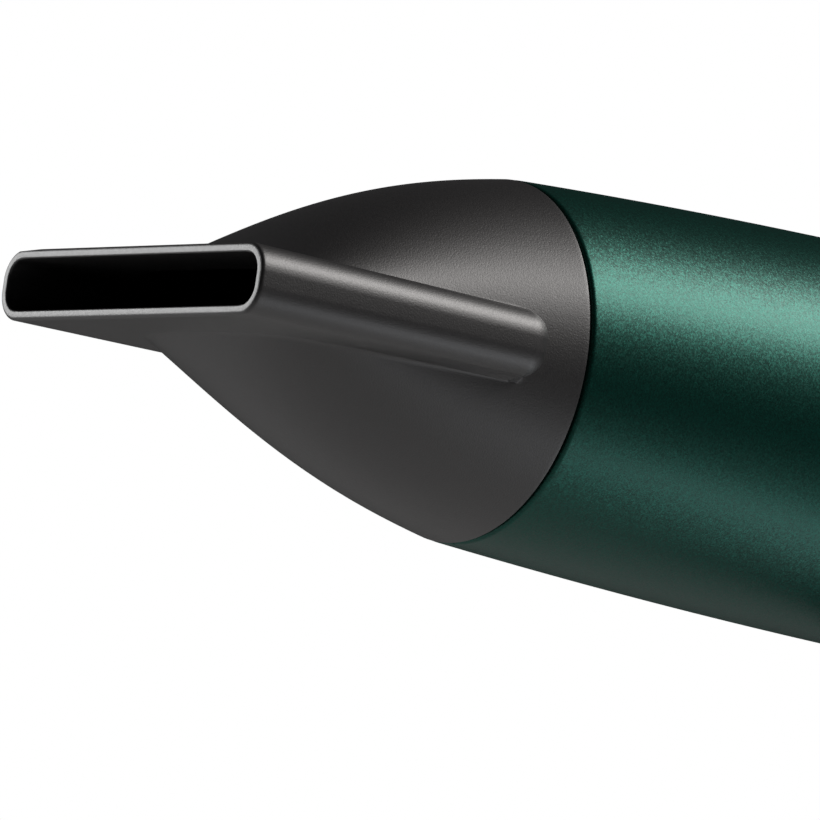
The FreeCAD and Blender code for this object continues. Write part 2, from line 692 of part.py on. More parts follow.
def make_outlet():
    """The ring that closes the front of the housing and its protective grille."""
    skirt_inner = f"{TUBE_RADIUS} + slide_fit"
    skirt_outer = f"{skirt_inner} + skirt_wall"
    bore = "seam_radius - housing_wall - seat_fit"
    ring = turned(
        "outlet_ring_blank",
        "barrel",
        [
            ("ring_inset", OUTLET_BORE),
            ("ring_inset", bore),
            (RING_REAR, bore),
            (RING_REAR, skirt_outer),
            (f"{RING_REAR} + skirt_depth", skirt_outer),
            (f"{RING_REAR} + skirt_depth", skirt_inner),
            (RING_REAR, skirt_inner),
            (RING_REAR, OUTLET_BORE),
        ],
    )
    length = f"{RING_REAR} + 2"
    emitter = cylinder("emitter_cut", "emitter_hole", length, "barrel", ("0", "0", EMITTER_HEIGHT), "y")
    keep(cut("outlet_ring_cut", ring, emitter), "outlet_ring")
    grille = round_grille(
        "outlet_grille", RING_REAR, "grille_depth", f"{TUBE_RADIUS} - tube_wall", TUBE_RADIUS, "8"
    )
    keep(grille, "outlet_grille")


# ---------------------------------------------------------------- heater


def wound_wire(name, frame, start, radius, wire, turns, length, corners):
    """A wire wound about a line along the frame's +Y, straight between the corners of each turn."""
    steps = round(number(turns) * corners)
    points = []
    for i in range(steps + 1):
        angle = 2 * math.pi * i / corners
        around_line = FreeCAD.Vector(math.cos(angle), -math.sin(angle), 0) * number(radius)
        points.append(around_line + FreeCAD.Vector(0, 0, number(length) * i / steps))
    section = Part.Wire(Part.Circle(points[0], points[1] - points[0], number(wire)).toShape())
    feature = doc.addObject("Part::Feature", name)
    feature.Shape = Part.makePolygon(points).makePipeShell([section], True, False, 1)
    return locate(feature, frame, start, -90)


def mica_board(name, plane, slot_from, slot_to):
    """A board with full-height ends and a waist for the winding, slotted to cross the other board."""
    front = f"({TUBE_START} + board_margin)"
    rear = f"({TUBE_END} - board_margin)"
    high = f"({TUBE_RADIUS} - tube_wall - seat_fit)"
    low = f"({TUBE_RADIUS} - winding_inset - 1.5*wire_radius - mica_sheet/2 - slide_fit)"
    side = [
        (front, high),
        (f"{front} + board_end", high),
        (f"{front} + board_end", low),
        (f"{rear} - board_end", low),
        (f"{rear} - board_end", high),
        (rear, high),
    ]
    corners = side + [(y, f"-{z}") for y, z in reversed(side)]
    if plane == "XY_Plane":
        corners = [(z, y) for y, z in corners]
    body = new_body(name, "barrel")
    board = pad(body, f"{name}_pad", outline_sketch(body, f"{name}_outline", plane, corners), "mica_sheet")
    board.Midplane = True
    half = "(mica_sheet/2 + slide_fit)"
    slot = [(slot_from, f"-{half}"), (slot_to, f"-{half}"), (slot_to, half), (slot_from, half)]
    if plane == "XY_Plane":
        slot = [(z, y) for y, z in slot]
    sketch = outline_sketch(body, f"{name}_slot", plane, slot)
    pocket = pocket_through(body, f"{name}_slotted", sketch, "4*mica_sheet")
    body.Tip = pocket
    return keep(body, name)


def outline_sketch(body, name, plane, corners):
    """A sketch with one outline."""
    sketch = new_sketch(body, name, plane)
    outline(sketch, corners)
    return sketch


def make_heater():
    """The mica tube, the crossed mica boards, the winding and the two safety devices."""
    tube_bore = f"{TUBE_RADIUS} - tube_wall"
    keep(tube("heater_tube", TUBE_START, TUBE_END, tube_bore, TUBE_RADIUS), "heater_tube")
    middle = f"(({TUBE_START} + {TUBE_END})/2)"
    mica_board("mica_board_upright", "YZ_Plane", middle, f"({TUBE_END} + 1)")
    mica_board("mica_board_level", "XY_Plane", f"({TUBE_START} - 1)", middle)
    length = f"({TUBE_END} - {TUBE_START} - 2*winding_margin)"
    winding = wound_wire(
        "heater_winding",
        "barrel",
        ("0", f"({TUBE_START} + winding_margin)", "0"),
        f"({TUBE_RADIUS} - winding_inset)",
        "wire_radius",
        "winding_turns",
        length,
        4,
    )
    keep(winding, "heater_coil")
    cutout = box(
        "cutout_case",
        ("cutout_width", "cutout_length", "cutout_height"),
        "barrel",
        ("cutout_side", f"{middle} + safety_lead", "mica_sheet/2"),
    )
    at_disc = (
        "cutout_side + cutout_width/2",
        f"{middle} + safety_lead + cutout_length/2",
        "mica_sheet/2 + cutout_height - slide_fit",
    )
    dome_cap = cylinder("cutout_disc", "0.4*cutout_width", "disc_height", "barrel", at_disc, "z")
    keep(fuse("cutout_joined", cutout, dome_cap), "thermal_cutout")
    at_fuse = ("-fuse_side", f"{middle} + safety_lead", "mica_sheet/2 + fuse_radius")
    fuse_body = cylinder("fuse_case", "fuse_radius", "fuse_length", "barrel", at_fuse, "y")
    keep(fuse_body, "thermal_fuse")


# ---------------------------------------------------------------- fan duct, motor and fan


def make_fan_duct():
    """The duct round the fan, with the motor's cup held in it by stator vanes."""
    outer = turned(
        "fan_duct_tube",
        "barrel",
        [
            (DUCT_START, f"{TUBE_RADIUS} + slide_fit"),
            (DUCT_START, DUCT_RADIUS),
            (DUCT_END, DUCT_RADIUS),
            (DUCT_END, f"{DUCT_RADIUS} - duct_wall"),
            (f"{TUBE_END} + slide_fit", f"{DUCT_RADIUS} - duct_wall"),
            (f"{TUBE_END} + slide_fit", f"{TUBE_RADIUS} + slide_fit"),
        ],
    )
    cup_inner = "(motor_radius + seat_fit)"
    cup_outer = f"({cup_inner} + cup_wall)"
    cup_end = f"({MOTOR_START} + cup_cover)"
    cup = turned(
        "motor_cup",
        "barrel",
        [
            (CUP_START, "bush_radius + seat_fit"),
            (CUP_START, f"{cup_outer} - cup_wall"),
            (f"{CUP_START} + cup_wall", cup_outer),
            (cup_end, cup_outer),
            (cup_end, cup_inner),
            (MOTOR_START, cup_inner),
            (MOTOR_START, "bush_radius + seat_fit"),
        ],
    )
    vanes = new_body("stator_vanes", "barrel")
    rear = f"({MOTOR_START} + 2 + vane_length)"
    sections = []
    for i, radius in enumerate((f"({cup_outer} - cup_wall/2)", f"({DUCT_RADIUS} - duct_wall/2)")):
        section = new_sketch(vanes, f"vane_section_{i}", "XY_Plane", radius)
        lead = f"({rear} - vane_length)"
        bow = f"({lead} + vane_length/2)"
        outline(
            section,
            [
                ("-vane_sheet/2", lead),
                ("vane_sheet/2", lead, ("0.16*vane_length + vane_sheet/2", bow)),
                ("0.45*vane_length + vane_sheet/2", rear),
                ("0.45*vane_length - vane_sheet/2", rear, ("0.16*vane_length - vane_sheet/2", bow)),
            ],
        )
        sections.append(section)
    around(vanes, "vanes_around", loft(vanes, "vane", sections), "vane_count")
    keep(fuse("fan_duct_joined", outer, cup, vanes), "fan_duct")


def make_motor():
    """The permanent-magnet motor's standing pieces."""
    can_inner = "(motor_radius - can_wall)"
    can = turned(
        "motor_can",
        "barrel",
        [
            (CAN_START, can_inner),
            (CAN_START, "motor_radius"),
            (MOTOR_END, "motor_radius"),
            (MOTOR_END, "bush_radius"),
            (f"{MOTOR_END} - can_wall", "bush_radius"),
            (f"{MOTOR_END} - can_wall", can_inner),
        ],
    )
    keep(can, "motor_can")
    keep(tube("motor_end_cap", MOTOR_START, CAN_START, "bush_radius", "motor_radius"), "motor_end_cap")
    ring = tube(
        "magnet_ring",
        f"{CORE_START} - 1",
        f"{CORE_END} + 1",
        f"{can_inner} - magnet_depth",
        can_inner,
    )
    gap = box(
        "magnet_gap",
        ("2*motor_radius", "core_length + 4", "0.6*motor_radius"),
        "barrel",
        ("-motor_radius", f"{CORE_START} - 2", "-0.3*motor_radius"),
    )
    keep(cut("magnets_cut", ring, gap), "motor_magnets")
    bushes = []
    bush_bore = "shaft_radius + shaft_play"
    for name, end in (
        ("front_bush", f"{CAN_START} + 2*slide_fit"),
        ("rear_bush", f"{MOTOR_END} + can_wall - slide_fit"),
    ):
        bushes.append(tube(name, f"{end} - bush_length", end, bush_bore, "bush_radius"))
    keep(group("bushes", *bushes), "motor_bushes")
    brushes = []
    for side, sign in (("right", 1), ("left", -1)):
        near = "(commutator_radius + brush_play)"
        far = f"({near} + brush_reach)"
        low_x = near if sign > 0 else f"-{far}"
        arm_x = f"{far} - brush_arm" if sign > 0 else f"-{far}"
        carbon = box(
            f"brush_{side}_carbon",
            ("brush_reach", "brush_length", "brush_width"),
            "barrel",
            (low_x, f"{CAN_START} + brush_setback", "-brush_width/2"),
        )
        arm = box(
            f"brush_{side}_arm",
            ("brush_arm", "brush_setback + brush_length", "brush_width"),
            "barrel",
            (arm_x, CAN_START, "-brush_width/2"),
        )
        brushes.append(fuse(f"brush_{side}", carbon, arm))
    keep(group("brushes", *brushes), "motor_brushes")


def make_rotor():
    """What turns: shaft, armature, commutator and fan."""
    shaft_start = f"({CAN_START} - bush_length - 0.5)"
    shaft = cylinder(
        "motor_shaft_bar",
        "shaft_radius",
        f"{FAN_START} + fan_length - 2 - {shaft_start}",
        "barrel",
        ("0", shaft_start, "0"),
        "y",
    )
    keep(shaft, "motor_shaft")
    core_radius = "(motor_radius - can_wall - magnet_depth - air_gap)"
    core = turned(
        "armature_core",
        "barrel",
        [
            (CORE_START, "shaft_radius"),
            (CORE_START, core_radius),
            (CORE_END, core_radius),
            (CORE_END, "shaft_radius"),
        ],
    )
    slot_floor = f"(0.42*{core_radius})"
    bars = new_body("slot_bars", "barrel")
    for body, name, half, top in (
        (core, "core_slot", "pole_slot/2", f"{core_radius} + 1"),
        (bars, "slot_bar", "(pole_slot/2 - slide_fit)", f"{core_radius} - winding_inset_core"),
    ):
        sketch = new_sketch(body, f"{name}_outline", "XZ_Plane", f"-({CORE_END})")
        floor = slot_floor if body is core else f"{slot_floor} + slide_fit"
        outline(sketch, [(f"-{half}", floor), (half, floor), (half, top), (f"-{half}", top)])
        if body is core:
            feature = pocket_through(body, name, sketch, "core_length", both=False)
            feature.Reversed = True
        else:
            feature = pad(body, name, sketch, "core_length")
        around(body, f"{name}_around", feature, "pole_count")
    keep(core, "armature_core")
    turn_bore = "shaft_radius + end_turn_wall"
    turn_radius = f"{core_radius} - winding_inset_core"
    ends = [
        tube(f"end_turns_{name}", start, end, turn_bore, turn_radius)
        for name, start, end in (
            ("front", f"{CORE_START} - end_turn", CORE_START),
            ("rear", CORE_END, f"{CORE_END} + end_turn"),
        )
    ]
    keep(fuse("windings_joined", bars, *ends), "armature_windings")
    start = f"{CAN_START} + 1"
    segments = tube(
        "commutator_ring", start, f"{start} + commutator_length", "shaft_radius", "commutator_radius"
    )
    keep(segments, "commutator")
    make_fan()


def make_fan():
    """The axial fan: a hollow hub with twisted blades."""
    end = f"({FAN_START} + fan_length)"
    cup_floor = f"{end} - 2*fan_wall"
    cup_radius = "fan_hub_radius - fan_wall"
    nose_bend = (f"{end} - fan_nose*{ROUND}", f"fan_hub_radius - fan_nose*{ROUND}")
    fan = turned(
        "fan",
        "barrel",
        [
            (FAN_START, "shaft_radius"),
            (FAN_START, "shaft_radius + fan_boss"),
            (cup_floor, "shaft_radius + fan_boss"),
            (cup_floor, cup_radius),
            (FAN_START, cup_radius),
            (FAN_START, "fan_hub_radius"),
            (f"{end} - fan_nose", "fan_hub_radius", nose_bend),
            (end, "fan_hub_radius - fan_nose"),
            (end, "shaft_radius"),
        ],
    )
    sections = []
    middle = f"({FAN_START} + fan_length/2)"
    for i, (height, pitch) in enumerate(
        (("fan_hub_radius - 0.8*fan_wall", "root_pitch"), (FAN_RADIUS, "tip_pitch"))
    ):
        section = new_sketch(fan, f"blade_section_{i}", "XY_Plane", height)
        corners = []
        for along, across in ((-1, -1), (-1, 1), (1, 1), (1, -1)):
            a = f"({along}*blade_chord/2)"
            b = f"({across}*blade_sheet/2)"
            x = f"{a}*sin({pitch}) + {b}*cos({pitch})"
            corners.append((x, f"{middle} + {a}*cos({pitch}) - {b}*sin({pitch})"))
        outline(section, corners)
        sections.append(section)
    around(fan, "blades_around", loft(fan, "blade", sections), "blade_count")
    swept = cylinder(
        "fan_swept", FAN_RADIUS, "3*fan_length", "barrel", ("0", f"{FAN_START} - fan_length", "0"), "y"
    )
    keep(common("fan_trimmed", fan, swept), "fan_impeller")


# ---------------------------------------------------------------- rear of the barrel


def make_rear():
    """The rubber seal, the bezel, the finger guard and the removable rear grille with its filter."""
    lip_bore = f"({DUCT_RADIUS} - duct_wall)"
    seal_end = f"{DUCT_END} + seal_depth"
    keep(tube("duct_seal", DUCT_END, seal_end, lip_bore, DUCT_RADIUS), "duct_seal")
    lip_start = "(barrel_length - bezel_lip)"
    spigot = "(barrel_rear_radius - housing_wall - seat_fit)"
    start = "(barrel_length - bezel_spigot)"
    bezel = turned(
        "rear_bezel",
        "barrel",
        [
            (start, BEZEL_BORE),
            (start, spigot),
            ("barrel_length", spigot),
            ("barrel_length", "barrel_rear_radius"),
            (BEZEL_END, "barrel_rear_radius"),
            (BEZEL_END, BEZEL_BORE),
            ("barrel_length", BEZEL_BORE),
            ("barrel_length", lip_bore),
            (lip_start, lip_bore),
            (lip_start, BEZEL_BORE),
        ],
    )
    keep(bezel, "rear_bezel")
    guard = round_grille(
        "finger_guard", "barrel_length", "guard_depth", lip_bore, f"{BEZEL_BORE} - slide_fit", "6"
    )
    keep(guard, "finger_guard")
    make_cap()


def cap_profile(inset):
    """The rear grille's outline from its shoulder to the axis, taken in by a thickness."""
    shoulder = f"{CAP_START} + cap_shoulder - 0.35*{inset}"
    shoulder_radius = f"barrel_rear_radius - cap_shoulder_inset - 0.94*{inset}"
    edge = f"{CAP_END} - cap_end_depth - 0.95*{inset}"
    edge_radius = f"cap_edge_radius - 0.3*{inset}"
    bulge_along = f"0.55*({shoulder}) + 0.45*({edge}) + 0.09*cap_shoulder"
    bulge_radius = f"0.45*({shoulder_radius}) + 0.55*({edge_radius}) + 0.09*cap_shoulder"
    crown = f"{CAP_END} - cap_end_depth/4 - {inset}"
    return [
        (shoulder, shoulder_radius, (bulge_along, bulge_radius)),
        (edge, edge_radius, (crown, f"0.5*({edge_radius})")),
        (f"{CAP_END} - {inset}", "0"),
    ]


def make_cap():
    """The removable rear grille and the filter mesh in it."""
    skirt_outer = f"({BEZEL_BORE} - slide_fit)"
    skirt_inner = f"({BEZEL_BORE} - cap_skirt)"
    skirt_front = "barrel_length + guard_depth + slide_fit"
    web_end = f"({CAP_START} + cap_wall)"
    side = f"{CAP_START} + cap_shoulder/2"
    side_radius = "barrel_rear_radius - 0.3*cap_shoulder_inset"
    outside = cap_profile("0")
    inside = cap_profile("cap_wall")
    back = [(inside[2][0], "0", (inside[1][2])), (inside[1][0], inside[1][1], (inside[0][2]))]
    cap = turned(
        "rear_cap",
        "barrel",
        [
            (skirt_front, skirt_inner),
            (skirt_front, skirt_outer),
            (CAP_START, skirt_outer),
            (CAP_START, "barrel_rear_radius - cap_gap", (side, side_radius)),
            *outside,
            *back,
            (inside[0][0], inside[0][1], (side, f"{side_radius} - cap_wall")),
            (web_end, "barrel_rear_radius - cap_gap - cap_wall"),
            (web_end, skirt_inner),
        ],
    )
    cutters = []
    rear = f"-({CAP_END} + 1)"
    half = "intake_slot/2"
    for name, low, high, count, depth in (
        (
            "inner_slot",
            "0.3*cap_edge_radius",
            "0.86*cap_edge_radius",
            "inner_slots",
            "cap_wall + cap_end_depth + 2",
        ),
        (
            "outer_slot",
            "cap_edge_radius",
            f"{skirt_inner} - 0.2*cap_wall",
            "outer_slots",
            "cap_length - cap_wall - 2",
        ),
    ):
        body = new_body(f"{name}_cutter", "barrel")
        sketch = new_sketch(body, f"{name}_outline", "XZ_Plane", rear)
        tip = (half, high, ("0", f"{high} + {half}"))
        outline(sketch, [(f"-{half}", low, ("0", f"{low} - {half}")), (half, low), tip, (f"-{half}", high)])
        around(body, f"{name}_around", pad(body, name, sketch, depth), count)
        cutters.append(body)
    keep(cut("rear_cap_slotted", cap, *cutters), "rear_grille")
    rim = tube(
        "filter_rim",
        web_end,
        f"{web_end} + 1.4",
        f"{skirt_inner} - 1",
        f"{skirt_inner} + 1.5",
    )
    mesh = cylinder("filter_disc", skirt_inner, "filter_sheet", "barrel", ("0", web_end, "0"), "y")
    keep(fuse("filter_joined", rim, mesh), "filter_mesh")


def make_ioniser():
    """The ioniser's module above the heater tube and its needle."""
    low = f"({TUBE_RADIUS} + 6*slide_fit)"
    module = box(
        "ioniser_case",
        ("2*ioniser_half_width", "ioniser_length", "ioniser_height"),
        "barrel",
        ("-ioniser_half_width", "ioniser_station", low),
    )
    keep(module, "ioniser_module")
    needle = cylinder(
        "needle_bar",
        "needle_radius",
        "ioniser_station - ring_inset - 1",
        "barrel",
        ("0", "ring_inset + 1", EMITTER_HEIGHT),
        "y",
    )
    keep(needle, "ion_needle")


# ---------------------------------------------------------------- housing


def oval_loft(name, inset, sizes):
    """A form through ovals: station up the handle, how much wider than the grip, how much deeper."""
    body = new_body(name, "handle")
    sections = []
    for i, (station, wide, deep) in enumerate(sizes):
        section = new_sketch(body, f"{name}_section_{i}", "XY_Plane", station)
        oval(section, f"grip_half_width + {wide} - {inset}", f"grip_half_depth + {deep} - {inset}")
        sections.append(section)
    loft(body, f"{name}_loft", sections)
    return body


def handle_form(name, inset):
    """The handle's form, taken in by a thickness: flared foot, straight grip and flared neck."""
    grip_low = "-0.55*handle_drop"
    grip_high = "grip_depth - neck_length"
    foot = ((FOOT, "foot_flare", "1.4*foot_flare"), (grip_low, "0", "0"))
    neck = (
        (grip_high, "0", "0"),
        (f"{grip_high} + 0.09*neck_length", "0.02*neck_flare", "0.03*neck_flare"),
        (f"{grip_high} + 0.17*neck_length", "0.25*neck_flare", "0.35*neck_flare"),
        (f"{grip_high} + 0.37*neck_length", "neck_flare", "1.3*neck_flare"),
        (f"{grip_high} + 0.63*neck_length", "2*neck_flare", "2.5*neck_flare"),
    )
    return fuse(
        name,
        oval_loft(f"{name}_foot", inset, foot),
        oval_prism(f"{name}_grip", inset, grip_low, grip_high),
        oval_loft(f"{name}_neck", inset, neck),
    )


def oval_prism(name, inset, low, high):
    """A straight length of the grip's oval, taken in by a thickness."""
    body = new_body(name, "handle")
    section = new_sketch(body, f"{name}_section", "XY_Plane", low)
    oval(section, f"grip_half_width - {inset}", f"grip_half_depth - {inset}")
    pad(body, f"{name}_pad", section, f"({high}) - ({low})")
    return body


def barrel_form():
    """The barrel's outer form."""
    lip = f"lip_round*{ROUND}"
    return turned(
        "barrel_outer",
        "barrel",
        [
            ("0", "0"),
            ("0", "seam_radius - lip_round", (lip, f"seam_radius - {lip}")),
            ("lip_round", "seam_radius", ("barrel_length/2", "barrel_mid_radius")),
            ("barrel_length", "barrel_rear_radius"),
            ("barrel_length", "0"),
        ],
    )


def barrel_hollow():
    """The barrel's inner form, with a plain bore where the outlet ring seats."""
    bore = "seam_radius - housing_wall"
    return turned(
        "barrel_inner",
        "barrel",
        [
            ("-1", "0"),
            ("-1", bore),
            (RING_REAR, bore, ("barrel_length/2", "barrel_mid_radius - housing_wall")),
            ("barrel_length - bezel_spigot - 1", "barrel_rear_radius - housing_wall"),
            ("barrel_length + 1", "barrel_rear_radius - housing_wall"),
            ("barrel_length + 1", "0"),
        ],
    )


def screw_places():
    """Where the housing's screws are: name, front to back, up the handle."""
    return (
        ("high", "0", "(grip_depth - screw_below_axis)"),
        ("middle", "0", "screw_middle"),
        ("low", "screw_low_back", "screw_low"),
    )


def make_housing():
    """The two halves of the housing, their screws and what they hold inside."""
    outer = fuse("housing_outer", barrel_form(), handle_form("handle_outer", "0"))
    hollow = fuse("housing_hollow", barrel_hollow(), handle_form("handle_inner", "housing_wall"))
    reach = "(grip_half_width + 2*neck_flare)"
    ribs = []
    for name, start in (("front", f"{DUCT_START} + rib_width"), ("rear", f"{DUCT_END} - 3.5*rib_width")):
        ribs.append(
            tube(
                f"rib_{name}",
                start,
                f"{start} + rib_width",
                f"{DUCT_RADIUS} + slide_fit",
                "barrel_rear_radius - housing_wall/2",
            )
        )
    posts = []
    cuts = []
    for name, back, up in screw_places():
        posts.append(
            cylinder(f"boss_{name}", "boss_radius", f"2*{reach}", "handle", (f"-{reach}", back, up), "x")
        )
        at_seat = ("-screw_seat", back, up)
        cuts.append(cylinder(f"hole_{name}", "screw_radius", SCREW_LENGTH, "handle", at_seat, "x"))
        pit = f"{reach} - screw_seat"
        cuts.append(
            cylinder(
                f"pit_{name}", "screw_head + 2*seat_fit", pit, "handle", (f"-{reach}", back, up), "x"
            )
        )
    for side, sign in (("right", ""), ("left", "-")):
        posts.append(
            cylinder(
                f"clamp_post_{side}",
                "2.2*clamp_screw",
                "grip_half_depth + cord_place",
                "handle",
                (f"{sign}clamp_screw_place", "-grip_half_depth", "clamp_place + clamp_length/2"),
                "y",
            )
        )
        cuts.append(
            cylinder(
                f"clamp_hole_{side}",
                "clamp_screw",
                "9",
                "handle",
                (f"{sign}clamp_screw_place", "cord_place - 8", "clamp_place + clamp_length/2"),
                "y",
            )
        )
    cuts.append(
        box(
            "plate_opening",
            (
                "2*(plate_half_width + seat_fit)",
                "grip_half_depth",
                "plate_high - plate_low + 2*seat_fit",
            ),
            "handle",
            ("-(plate_half_width + seat_fit)", "0.55*grip_half_depth", "plate_low - seat_fit"),
        )
    )
    cuts.append(
        cylinder(
            "button_opening",
            "button_radius + button_gap",
            "grip_half_depth",
            "handle",
            ("0", "-1.5*grip_half_depth", "button_place"),
            "y",
        )
    )
    skin = cut("housing_skin", outer, hollow)
    limit = handle_form("post_limit", "housing_wall/2")
    trimmed = common("posts_trimmed", limit, fuse("posts", *posts))
    whole = cut("housing_whole", fuse("housing_filled", skin, trimmed, *ribs), *cuts)
    for side, start in (("right", "0"), ("left", "-2*barrel_rear_radius")):
        half_space = box(
            f"half_space_{side}",
            ("2*barrel_rear_radius", "2*barrel_length", "2*(grip_depth + handle_drop)"),
            "barrel",
            (start, "-barrel_length/2", "-1.5*(grip_depth + handle_drop)"),
        )
        keep(common(f"housing_{side}_half", whole, half_space), f"housing_{side}")
    screws = []
    for name, back, up in screw_places():
        at_seat = ("-screw_seat", back, up)
        at_head = ("-(screw_seat + head_height)", back, up)
        stem = cylinder(f"screw_stem_{name}", "screw_radius", SCREW_LENGTH, "handle", at_seat, "x")
        head = cylinder(f"screw_head_{name}", "screw_head", "head_height", "handle", at_head, "x")
        screws.append(fuse(f"screw_{name}", stem, head))
    keep(group("screws", *screws), "housing_screws")


# ---------------------------------------------------------------- controls


def make_switch_plate():
    """The plate on the rear of the handle, with slots for the two sliders."""
    pieces = []
    for name, outer, inner, margin in (
        ("face", "-plate_proud", "(housing_wall + plate_lip)", "0"),
        ("lip", "(housing_wall + 3*slide_fit)", "(housing_wall + plate_lip + slide_fit)", "lip_reach"),
    ):
        low = f"plate_low - {margin}"
        high = f"plate_high + {margin}"
        skin = cut(
            f"plate_{name}_skin",
            oval_prism(f"plate_{name}_outside", outer, low, high),
            oval_prism(f"plate_{name}_inside", inner, f"{low} - 1", f"{high} + 1"),
        )
        window = centred_box(
            f"plate_{name}_window",
            f"plate_half_width + {margin}",
            "0.3*grip_half_depth",
            "2*grip_half_depth",
            f"{low} - 1",
            f"{high} + 1",
        )
        pieces.append(common(f"plate_{name}", skin, window))
    slots = [
        centred_box(
            f"{name}_slot",
            "stem_half_width + slider_gap",
            "0.2*grip_half_depth",
            "2*grip_half_depth",
            f"{place} - stem_half_length - slider_gap",
            f"{place} + slider_travel + stem_half_length + slider_gap",
        )
        for name, place in (("speed", "speed_place"), ("heat", "heat_place"))
    ]
    keep(cut("plate_slotted", fuse("plate_joined", *pieces), *slots), "switch_plate")


def make_slider(name, place):
    """A slider with ridges on its cap, and the slide switch under it."""
    under_cap = f"({PLATE_TOP} + slider_gap)"
    top = f"({under_cap} + slider_height)"
    foot_top = f"({PLATE_UNDER} - slider_gap)"
    foot_low = f"({SWITCH_TOP} + slider_gap)"
    low = f"({place} - slider_half)"
    high = f"({place} + slider_half)"
    pieces = [
        centred_box(f"{name}_cap", "slider_half", under_cap, f"{top} - ridge_height", low, high),
        centred_box(
            f"{name}_stem",
            "stem_half_width",
            foot_low,
            f"{under_cap} + 0.5",
            f"{place} - stem_half_length",
            f"{place} + stem_half_length",
        ),
        centred_box(f"{name}_foot", "0.9*slider_half", foot_low, foot_top, low, high),
        centred_box(
            f"{name}_tang",
            "0.8*tang_half",
            f"{SWITCH_TOP} - 2*tang_half",
            foot_top,
            f"{place} - tang_half",
            f"{place} + tang_half",
        ),
    ]
    ridges = int(number("slider_ridges"))
    for i in range(ridges):
        step = "(2*slider_half/slider_ridges)"
        ridge_low = f"{low} + {i}*{step} + 0.25*{step}"
        ridge_high = f"{ridge_low} + 0.5*{step}"
        ridge_foot = f"{top} - 1.5*ridge_height"
        pieces.append(
            centred_box(f"{name}_ridge_{i}", "0.9*slider_half", ridge_foot, top, ridge_low, ridge_high)
        )
    keep(fuse(f"{name}_slider_joined", *pieces), f"{name}_slider")
    case = centred_box(
        f"{name}_switch_case",
        "switch_half_width",
        BOARD_REAR,
        SWITCH_TOP,
        f"{place} - stem_half_length - switch_margin",
        f"{place} + slider_travel + stem_half_length + switch_margin",
    )
    slot = centred_box(
        f"{name}_switch_slot",
        "0.8*tang_half + slider_gap",
        f"{SWITCH_TOP} - 2*tang_half - slider_gap",
        f"{SWITCH_TOP} + 1",
        f"{place} - tang_half - slider_gap",
        f"{place} + slider_travel + tang_half + slider_gap",
    )
    keep(cut(f"{name}_switch_cut", case, slot), f"{name}_switch")


def make_cool_shot():
    """The sprung button on the front of the handle and the switch behind it."""
    face = "(-(grip_half_depth + button_proud))"
    flange_back = f"({BUTTON_STOP} + button_flange)"
    spring_end = f"({flange_back} + spring_room)"
    body = new_body("button", "handle")
    bind(body, Placement__Base__y="-button_place*sin(handle_lean)")
    bind(body, Placement__Base__z="button_place*cos(handle_lean)")
    shoulder = f"{face} + button_crown"
    bend = (f"{shoulder} + {ROUND}", f"button_radius - {ROUND}")
    flange_radius = "button_radius + flange_reach"
    revolve(
        body,
        "button_turned",
        [
            (face, "0"),
            (shoulder, "button_radius - 1", bend),
            (f"{shoulder} + 1", "button_radius"),
            (BUTTON_STOP, "button_radius"),
            (BUTTON_STOP, flange_radius),
            (flange_back, flange_radius),
            (flange_back, "0.6*spring_radius"),
            (f"{spring_end} - button_travel - 4*slide_fit", "0.6*spring_radius"),
            (f"{spring_end} - button_travel - 4*slide_fit", "0"),
        ],
    )
    keep(body, "cool_shot_button")
    length = "(spring_room - 2*spring_wire - 2*slide_fit)"
    spring = wound_wire(
        "button_spring",
        "handle",
        ("0", f"({flange_back} + spring_wire + slide_fit)", "button_place"),
        "spring_radius",
        "spring_wire",
        "spring_turns",
        length,
        16,
    )
    keep(spring, "cool_shot_spring")
    case = centred_box(
        "cool_shot_case",
        "switch_half_width",
        spring_end,
        "-board_face",
        "button_place - switch_half_length",
        "button_place + switch_half_length",
    )
    keep(case, "cool_shot_switch")


def make_board():
    """The control board and the parts on its front."""
    board = centred_box(
        "board_sheet_box",
        "board_half_width",
        "-board_face",
        BOARD_REAR,
        "board_low",
        "board_high",
    )
    keep(board, "control_board")
    capacitor_size = ("capacitor_width", "capacitor_depth", "capacitor_length")
    capacitor_at = (
        "part_margin - board_half_width",
        "-(board_face + capacitor_depth)",
        "board_low + 5*part_margin",
    )
    varistor_at = (
        "board_half_width - varistor_radius",
        "-(board_face + varistor_depth)",
        "board_low + 10*part_margin",
    )
    parts = [
        box("capacitor", capacitor_size, "handle", capacitor_at),
        cylinder("varistor", "varistor_radius", "varistor_depth", "handle", varistor_at, "y"),
    ]
    for i in range(4):
        side = "-(diode_length + diode_radius/2)" if i % 2 else "diode_radius/2"
        up = f"board_low + capacitor_length + 8*part_margin + {i // 2}*2.5*diode_radius"
        place = (side, "-(board_face + diode_radius)", up)
        parts.append(cylinder(f"diode_{i}", "diode_radius", "diode_length", "handle", place, "x"))
    keep(group("board_parts_group", *parts), "board_parts")


# ---------------------------------------------------------------- foot


